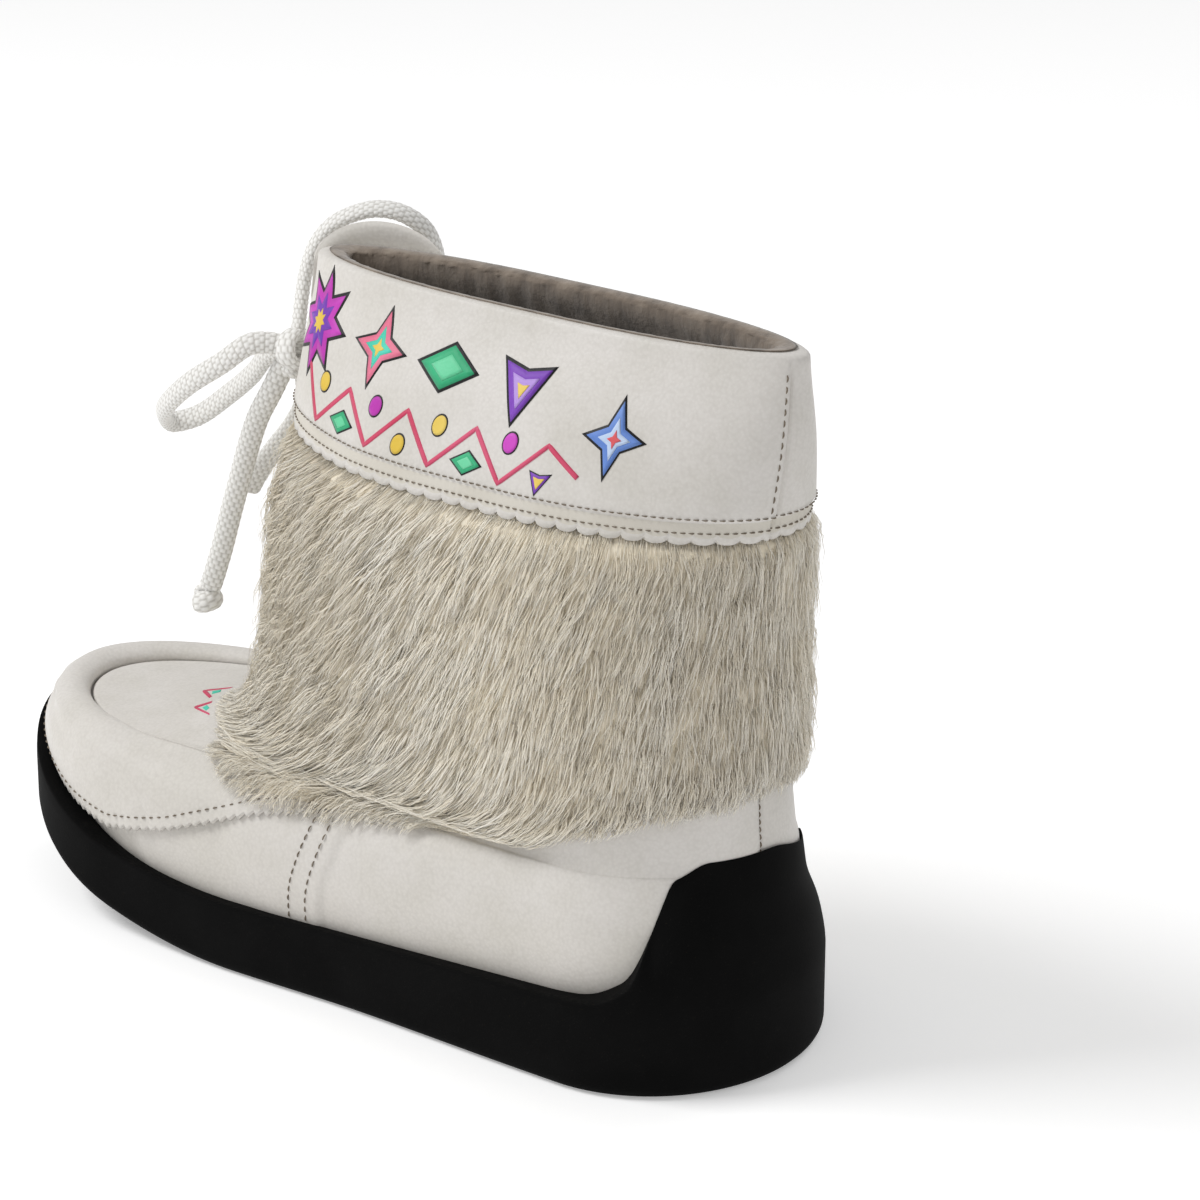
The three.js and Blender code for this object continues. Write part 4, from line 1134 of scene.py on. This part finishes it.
# Guard hairs in locks over shorter under hairs, all combed down and forward
def addFur():
    seed = np.random.default_rng(11)
    angles, _ = evenAngles(lambda a: leatherPoint(a, 9.0), 2001)
    weight = cuffAway(angles[:-1]) + fur["tucked"]
    chance = np.cumsum(weight) / weight.sum()
    ringAt = np.linspace(0, 400, len(angles))

    def scatter(count, lowest):
        angle = angles[np.searchsorted(chance, seed.random(count))] + seed.normal(0, 0.1, count)
        top = cuffAway(angle) + fur["tucked"]
        return angle, lowest + (top - lowest) * seed.random(count)

    def combed(angle):
        side = np.minimum(angle % 360, 360 - angle % 360)
        return lerp(fur["drift"][0], fur["drift"][1], smooth((side - 25) / 95))

    locks = fur["locks"]
    lockAngle, lockDistance = scatter(locks, 2.0)
    lockReach = seed.uniform(*fur["length"], locks)
    lockLean = combed(lockAngle) + seed.normal(0, 0.1, locks)
    lockLayer = seed.uniform(0.6, 1.1, locks)
    lockRing = np.interp(lockAngle % 360, angles, ringAt)
    patch = np.sin(lockRing / 9 + 2 * np.sin(lockDistance / 13)) * np.sin(lockDistance / 11 + lockRing / 23)
    lockTone = seed.normal(0, 0.06, locks) + 0.09 * patch
    lockSlack = seed.uniform(*fur["hemSlack"], locks)
    lockPull = seed.uniform(*fur["pull"], locks)
    lockTurning = combedTurn(lockAngle, lockDistance, lockLean)
    guideReach = trimmed(lockAngle, lockDistance, lockReach, lockTurning, lockSlack)
    quarters = {name: [[], [], [], []] for name in ("fur_outer_rear", "fur_outer_side", "fur_outer_front",
                                                    "fur_inner_front", "fur_inner_side", "fur_inner_rear")}
    # count, places along the hair, sizes at the middle ones, range of layers and share of the length
    kinds = ((fur["guard"], np.array([0.0, 0.34, 0.7, 1.0]), (1.0, 0.72), (0.55, 1.1), 1.0),
             (fur["under"], np.array([0.0, 0.5, 1.0]), (1.0,), (0.35, 0.95), 0.72))
    for count, places, sizes, layers, share in kinds:
        angle, distance = scatter(count, 0.8)
        ring = np.interp(angle % 360, angles, ringAt)
        lockOf = np.zeros(count, int)
        for start in range(0, count, 4000):
            part = slice(start, start + 4000)
            away = np.abs(ring[part, None] - lockRing[None, :])
            away = np.minimum(away, 400 - away) ** 2 + (distance[part, None] - lockDistance[None, :]) ** 2
            lockOf[part] = away.argmin(1)
        reach = share * lerp(lockReach[lockOf], seed.uniform(*fur["length"], count), 0.5)
        turning = combedTurn(angle, distance, lockLean[lockOf] + seed.normal(0, 0.09, count))
        reach = trimmed(angle, distance, reach, turning, lockSlack[lockOf] + seed.normal(0, 0.9, count))
        layer = lockLayer[lockOf] * seed.uniform(*layers, count)
        own = hairPaths(angle, distance, reach, turning, layer, places[None, :])
        guide = hairPaths(lockAngle, lockDistance, guideReach, lockTurning, lockLayer, places[None, :])
        guide = guide[lockOf]
        near = smooth(1 - np.linalg.norm(own[:, 0] - guide[:, 0], axis=-1) / 9)
        pull = (lockPull[lockOf] * near)[:, None] * places ** 1.5
        line = lerp(own, guide, pull[..., None])
        line = line + seed.normal(0, 0.16, line.shape) * places[:, None]
        lay = layDirection(angle, tableAt(rowTable, angle, distance - reach / 2))
        width = fur["width"] * seed.uniform(0.7, 1.2, count)
        points, triangles, quads = strands(line, lay, width, sizes)
        # Painted shade: hairs in deeper layers are made darker, and each hair darkens towards its root,
        # partly its own colour and partly painted shade
        tone = lockTone[lockOf] + seed.normal(0, 0.06, count) + (layer - 0.7) * 0.25
        shades = [0.1 + 0 * tone]
        for place in places[1:-1]:
            shades += [0.35 + 0.45 * place + tone] * 3
        shades = np.clip(np.stack(shades + [0.88 + tone], 1), 0, 1)
        sector = ((angle % 360) // 60).astype(int)
        for number, kept in enumerate(quarters.values()):
            chosen = np.flatnonzero(sector == number)
            first = sum(len(part) for part in kept[0])
            base = (np.arange(len(chosen)) * points.shape[1] + first)[:, None, None]
            kept[0].append(points[chosen].reshape(-1, 3))
            kept[1].append((triangles[None] + base).reshape(-1, 3))
            kept[2].append((quads[None] + base).reshape(-1, 4))
            kept[3].append(shades[chosen].ravel())
    for name, (points, triangles, quads, shades) in quarters.items():
        piece = makePiece(name, np.vstack(points), [np.vstack(triangles), np.vstack(quads)], furFinish,
                          values={"tone": np.concatenate(shades)})


hide = {"around": 361, "hem": 4.5, "tucked": 3, "lump": 0.28, "lumpSpread": 0.14, "tone": 0.2}


# The hide below the hairs: a lumpy felt of underfur that thins to nothing at the hem and under the cuff,
# coloured darker as painted shadow under the hairs and lighter where its lumps stand higher
def addHide():
    angles, _ = evenAngles(lambda a: leatherPoint(a, 9.0), hide["around"])
    angles = angles[:-1, None]
    seed = np.random.default_rng(5)
    shares = np.linspace(0, 1, 60)[None, :]
    distance = lerp(hide["hem"], cuffAway(angles) + hide["tucked"], shares)
    rows = tableAt(rowTable, angles + 0 * distance, distance)
    lumps = hide["lump"] + hide["lumpSpread"] * seed.random(rows.shape)
    over = underCuff(angles, distance, 0.6 + furDepth(angles) * lumps * np.sqrt(np.clip(shares * 7, 0, 1)))
    outer = overLeather(angles, rows, coverHeight(angles, rows) + over)
    backShares = np.array([1, 0.8, 0.6, 0.4, 0.2, 0.0])[None, :]
    backDistance = lerp(hide["hem"], cuffAway(angles) + hide["tucked"], backShares)
    backRows = tableAt(rowTable, angles + 0 * backDistance, backDistance)
    inner = overLeather(angles, backRows, coverHeight(angles, backRows) + 0.2)
    # Painted shadow: the hide takes a darker tone from the root end of the fur's colours, and higher lumps
    # are lighter as painted light
    tone = np.concatenate([hide["tone"] + 0.8 * (lumps - hide["lump"]), hide["tone"] + 0 * backRows], 1)
    piece = ringPiece("fur_hide", np.concatenate([outer, inner], 1), furFinish, values={"tone": tone})
    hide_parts("fur_band")


addHide()
addFur()
print("fur made")

stitch = {"length": 1.5, "gap": 0.8, "width": 0.5}


# A row of stitches along a line: each a small bent spindle that dips into the leather at both ends
def stitchRow(name, points, normals, length=stitch["length"], gap=stitch["gap"], width=stitch["width"]):
    run = np.concatenate([[0], np.cumsum(np.linalg.norm(np.diff(points, axis=0), axis=1))])
    count = int(run[-1] // (length + gap))
    starts = np.arange(count) * (run[-1] / count)
    places = np.linspace(0, 1, 5)[None, :]
    at = starts[:, None] + places * length
    centre = np.stack([np.interp(at, run, points[:, k]) for k in range(3)], -1)
    normal = np.stack([np.interp(at, run, normals[:, k]) for k in range(3)], -1)
    normal /= np.linalg.norm(normal, axis=-1, keepdims=True)
    bulge = np.sin(np.pi * places)
    centre = centre + normal * ((bulge - 0.35) * width * 0.6)[..., None]
    along = np.gradient(centre, axis=1)
    along /= np.linalg.norm(along, axis=-1, keepdims=True)
    across = np.cross(along, normal)
    size = width / 2 * np.array([0.55, 0.95, 1.0, 0.95, 0.55])[None, :, None, None]
    turn = np.radians(np.arange(0, 360, 60))[None, None, :, None]
    ring = centre[:, :, None] + size * (across[:, :, None] * np.cos(turn) + normal[:, :, None] * np.sin(turn))
    tube = gridFaces(5, 6, False, True)
    ends = np.array([[3, 2, 1, 0], [5, 4, 3, 0], [24, 25, 26, 27], [24, 27, 28, 29]])
    base = (np.arange(count) * 30)[:, None, None]
    faces = np.concatenate([tube, ends])[None] + base
    piece = makePiece(name, ring.reshape(-1, 3), [faces.reshape(-1, 4)], threadFinish)
    return piece


# Stitch rows at the rear seam, along the cuff's edge, round the apron, beside the side seams and up the cuff
def addStitches():
    rows = np.linspace(1.0, 9.0, 200)
    points = overLeather(0 * rows + backSeam, rows, 0.05)
    stitchRow("back_seam_stitch", points, layDirection(0 * rows + backSeam, rows), 1.6, 0.5, 0.5)
    angles = np.linspace(0, 360, 1441)
    normals = layDirection(angles, 12.0)
    for name, rise, over in (("cuff_stitch_low", 3.0, -0.45), ("cuff_stitch_high", cuff["strip"] + 0.9, 0.2)):
        height = cuffHeight(angles) + rise
        points = overLeather(angles, rowAtHeight(angles, height), cuffFace + over + cuffSeam(angles))
        points[:, 2] = height
        stitchRow(name, points, normals)
    angles = np.linspace(180 - apronReach + 1, 180 + apronReach - 1, 1200)
    edge = fromTable(apronEdge, fromToe(angles)) + 0.32
    share = 0.32 / (plugEdgeRow - edge)
    points = overLeather(angles, edge, apronOver(angles, share) + 0.05)
    stitchRow("apron_stitch", points, layDirection(angles, edge), 1.5, 1.5)
    rows = np.linspace(0.3, 4.6, 200)
    for name, (start, end) in seams.items():
        for number, away in enumerate((2.2, 5.0)):
            offset = away / (np.pi / 180 * 60) * (1 if start < 180 else -1)
            angles = lerp(start, end, rows / 8) + offset
            points = overLeather(angles, rows, 0.85)
            stitchRow(f"{name}_seam_stitch_{number + 1}", points, layDirection(angles, rows), 1.9, 0.9)
    height = np.linspace(cuffHeight(0.0) + 8, boot["height"] - 4, 100)
    angles = np.full(100, cuff["seam"] + 1.5 / cuff["degree"])
    points = overLeather(angles, rowAtHeight(angles, height), cuffFace + 0.65)
    points[:, 2] = height
    stitchRow("cuff_back_stitch", points, layDirection(angles, 12.0), 1.9, 0.9)


addStitches()
print("stitches made")


# Motifs printed on the cuff: a generic geometric design. For each: shape, place along the cuff in mm from
# the toe's side, height over the cuff's edge, half width, half height, and inks from the rim inwards
motifs = {
    "bigStar": ("star8", 23, 32, 15, 15.5, ("dark", "magenta", "violet", "yellow")),
    "pinkStar": ("star4", 53, 33, 11, 11, ("dark", "rose", "teal", "yellow")),
    "greenLozenge": ("diamond", 79, 33, 11, 6.5, ("dark", "green", "lime")),
    "violetFan": ("triangle", 105, 32, 9.5, 9.5, ("dark", "violet", "lilac", "yellow")),
    "blueStar": ("star4", 137, 25, 9.5, 11, ("dark", "blue", "pale", "red")),
    "greenLow": ("diamond", 47, 11.5, 5.5, 3.4, ("dark", "green", "lime")),
    "greenMiddle": ("diamond", 95, 11.5, 5.5, 3.4, ("dark", "green", "lime")),
    "yellowOne": ("dot", 35, 19, 2.6, 3.0, ("dark", "yellow")),
    "magentaOne": ("dot", 59, 19, 2.6, 3.0, ("dark", "magenta")),
    "yellowTwo": ("dot", 83, 19, 2.6, 3.0, ("dark", "yellow")),
    "magentaTwo": ("dot", 107, 19, 2.6, 3.0, ("dark", "magenta")),
    "yellowThree": ("dot", 71, 11.5, 2.6, 3.0, ("dark", "yellow")),
    "violetLow": ("triangle", 119, 11, 3.8, 3.6, ("dark", "violet", "yellow")),
}
inks = {"dark": ("0b0b0d", "141216"), "magenta": ("b52ba8", "cf49c4"), "violet": ("6b2fa6", "8247bd"),
        "yellow": ("dcb93e", "ecd06a"), "rose": ("dd5f81", "ea86a0"), "teal": ("27bfa0", "5ad8bf"),
        "green": ("1f9a68", "35b37e"), "lime": ("4cc38b", "70d5a5"), "lilac": ("a57fd4", "bb9ae2"),
        "blue": ("5f84cf", "83a3df"), "pale": ("bcd0ee", "d3e0f4"), "red": ("d9545a", "e5767a"),
        "pink": ("c93a5c", "d75577")}
# Zigzag between the motifs: place and height of its corners
zigzag = [(24, 21), (35, 8.5), (47, 20.5), (59, 8.5), (71, 20.5), (83, 8.5), (95, 20.5), (107, 8.5),
          (119, 20.5), (130, 14)]
# Chevrons on the plug: across from the middle, and forward from the fur
plugMarks = [(-9.5, 16), (0, 20), (9.5, 16)]

artLine = np.linspace(228, 0, 2281)
artPoints = overLeather(artLine, rowAtHeight(artLine, 0 * artLine + 182), cuffFace)
artRun = np.concatenate([[0], np.cumsum(np.linalg.norm(np.diff(artPoints, axis=0), axis=1))])
artRun -= np.interp(-180, -artLine, artRun)


# Point of the cuff's outer side from the place along it, the height over its edge and a lift
def onCuff(place, rise, lift):
    angle = np.interp(place, artRun, artLine)
    height = cuffHeight(angle) + rise
    point = overLeather(angle, rowAtHeight(angle, height), cuffFace + 0.15 + lift + 0 * angle)
    point[..., 2] = height
    return point


# Point of the plug: forward of the fur's hem and across from its middle
def onPlug(place, rise, lift):
    angle = 180 - np.degrees(np.arctan2(place, 34.0)) * 1.15
    row = 6.9 - rise / 24.0
    return overLeather(angle, row, boot["hideGap"] + plugLeather + lift + 0 * angle)


# Corners of a motif within a unit box: a circle, a lozenge, a fan or a star of a number of points
def outlineOf(kind):
    if kind == "dot":
        turn = np.linspace(0, 2 * np.pi, 24, endpoint=False)
        return np.stack([np.cos(turn), np.sin(turn)], 1)
    if kind == "diamond":
        return np.array([(1, 0), (0, 1), (-1, 0), (0, -1)], float)
    if kind == "triangle":
        return np.array([(0, -1), (0.95, 0.75), (0, 0.55), (-0.95, 0.75)], float)
    points = int(kind[4:])
    turn = np.arange(2 * points) * np.pi / points + np.pi / 2
    reach = np.where(np.arange(2 * points) % 2, 0.55 if points == 8 else 0.42, 1.0)
    return np.stack([np.cos(turn), np.sin(turn)], 1) * reach[:, None]


# A thin patch with a star-shaped outline, laid on a surface: rings from the middle to the edge
def patch(kept, corners, centre, surface, lift):
    following = np.roll(corners, -1, 0)
    steps = [max(2, int(np.linalg.norm(b - a) / 1.2)) for a, b in zip(corners, following)]
    edge = np.vstack([lerp(a[None], b[None], np.linspace(0, 1, step + 1)[:-1, None])
                      for a, b, step in zip(corners, following, steps)])
    count = len(edge)
    rings = [surface(*(centre + edge * share).T, lift) for share in (0.3, 0.65, 1.0)]
    rings.append(surface(*(centre + edge).T, -0.3))
    middle = surface(*np.array([centre]).T, lift)
    under = surface(*np.array([centre]).T, -0.3)
    first = sum(len(part) for part in kept[0])
    kept[0] += [np.vstack(rings), middle, under]
    k = np.arange(count)
    following = (k + 1) % count
    top, low = 4 * count, 4 * count + 1
    kept[1].append(np.vstack([np.stack([0 * k + top, k, following], 1),
                              np.stack([0 * k + low, following + 3 * count, k + 3 * count], 1)]) + first)
    kept[2].append(np.vstack([np.stack([k + r * count, k + (r + 1) * count, following + (r + 1) * count,
                                        following + r * count], 1) for r in range(3)]) + first)


# A flat line of even width through corner points, laid on a surface
def ribbon(kept, corners, width, surface, lift):
    corners = np.array(corners, float)
    line = np.vstack([lerp(a[None], b[None], np.linspace(0, 1, 16)[:-1, None])
                      for a, b in zip(corners[:-1], corners[1:])] + [corners[-1:]])
    along = np.gradient(line, axis=0)
    across = np.stack([-along[:, 1], along[:, 0]], 1)
    across /= np.linalg.norm(across, axis=1, keepdims=True)
    sides = [line + across * width / 2, line - across * width / 2]
    loops = np.stack([surface(*sides[0].T, lift), surface(*sides[1].T, lift), surface(*sides[1].T, -0.3),
                      surface(*sides[0].T, -0.3)], 1)
    first = sum(len(part) for part in kept[0])
    last = 4 * (len(line) - 1)
    kept[0].append(loops.reshape(-1, 3))
    caps = [[0, 1, 2, 3], [last + 3, last + 2, last + 1, last]]
    kept[2].append(np.vstack([gridFaces(len(line), 4, False, True), caps]) + first)


# All motifs, joined to one piece for each ink, and stacked from the rim's ink inwards
def addMotifs():
    kept = {ink: [[], [], []] for ink in inks}
    for kind, place, rise, halfWidth, halfHeight, colours in motifs.values():
        shape = outlineOf(kind) * np.array([halfWidth, halfHeight])
        for layer, ink in enumerate(colours):
            share = (1.0, 0.85, 0.5, 0.22)[layer]
            patch(kept[ink], shape * share, np.array([place, rise]), onCuff, 0.1 + 0.09 * layer)
    ribbon(kept["pink"], zigzag, 1.3, onCuff, 0.12)
    for place, rise in plugMarks:
        mark = np.array([(place - 3.4, rise - 9), (place, rise), (place + 3.4, rise - 9)])
        ribbon(kept["pink"], mark, 1.1, onPlug, 0.12)
        patch(kept["teal"], outlineOf("diamond") * [1.5, 2.4], np.array([place, rise - 7.0]), onPlug, 0.12)
    for ink, (points, triangles, quads) in kept.items():
        parts = [np.vstack(part) for part in (triangles, quads) if part]
        printed = leatherMaterial("ink_" + ink, 0.0, inks[ink])
        piece = makePiece("print_" + ink, np.vstack(points), parts, printed)


addMotifs()
print("motifs printed")

# Studio: pale floor, and for each soft light its place in metres, its size and its power
studio = {"floor": "f6f6f6", "floorGlow": 0.3, "sky": 0.4}
lights = {"key": ((0.9, 0.7, 1.45), 0.7, 19), "fill": ((-1.2, 0.9, 0.8), 1.2, 1.8),
          "rim": ((-0.2, -1.3, 1.2), 0.8, 4)}


def addStage():
    floor = bpy.data.meshes.new("floor")
    floor.from_pydata([(-6, -6, 0), (6, -6, 0), (6, 6, 0), (-6, 6, 0)], [], [(0, 1, 2, 3)])
    material, shader = newMaterial("paleFloor", Roughness=0.9, Specular_IOR_Level=0.1)
    shader.inputs["Base Color"].default_value = toLinear(studio["floor"])
    shader.inputs["Emission Color"].default_value = (1, 1, 1, 1)
    shader.inputs["Emission Strength"].default_value = studio["floorGlow"]
    floor.materials.append(material)
    ground = bpy.data.objects.new("floor", floor)
    bpy.context.scene.collection.objects.link(ground)
    world = bpy.data.worlds.new("studio")
    world.use_nodes = True
    world.node_tree.nodes["Background"].inputs["Color"].default_value = (1, 1, 1, 1)
    world.node_tree.nodes["Background"].inputs["Strength"].default_value = studio["sky"]
    bpy.context.scene.world = world
    for name, (place, size, power) in lights.items():
        data = bpy.data.lights.new(name, "AREA")
        data.size, data.energy = size, power
        lamp = bpy.data.objects.new(name, data)
        lamp.location = place
        way = (Vector((0, 0, 0.09)) - Vector(place)).to_track_quat("-Z", "Y")
        lamp.rotation_euler = way.to_euler()
        bpy.context.scene.collection.objects.link(lamp)
    bpy.context.scene.view_settings.view_transform = "Standard"


addStage()
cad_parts["insole"].data.materials.clear()
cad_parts["insole"].data.materials.append(liningFinish)
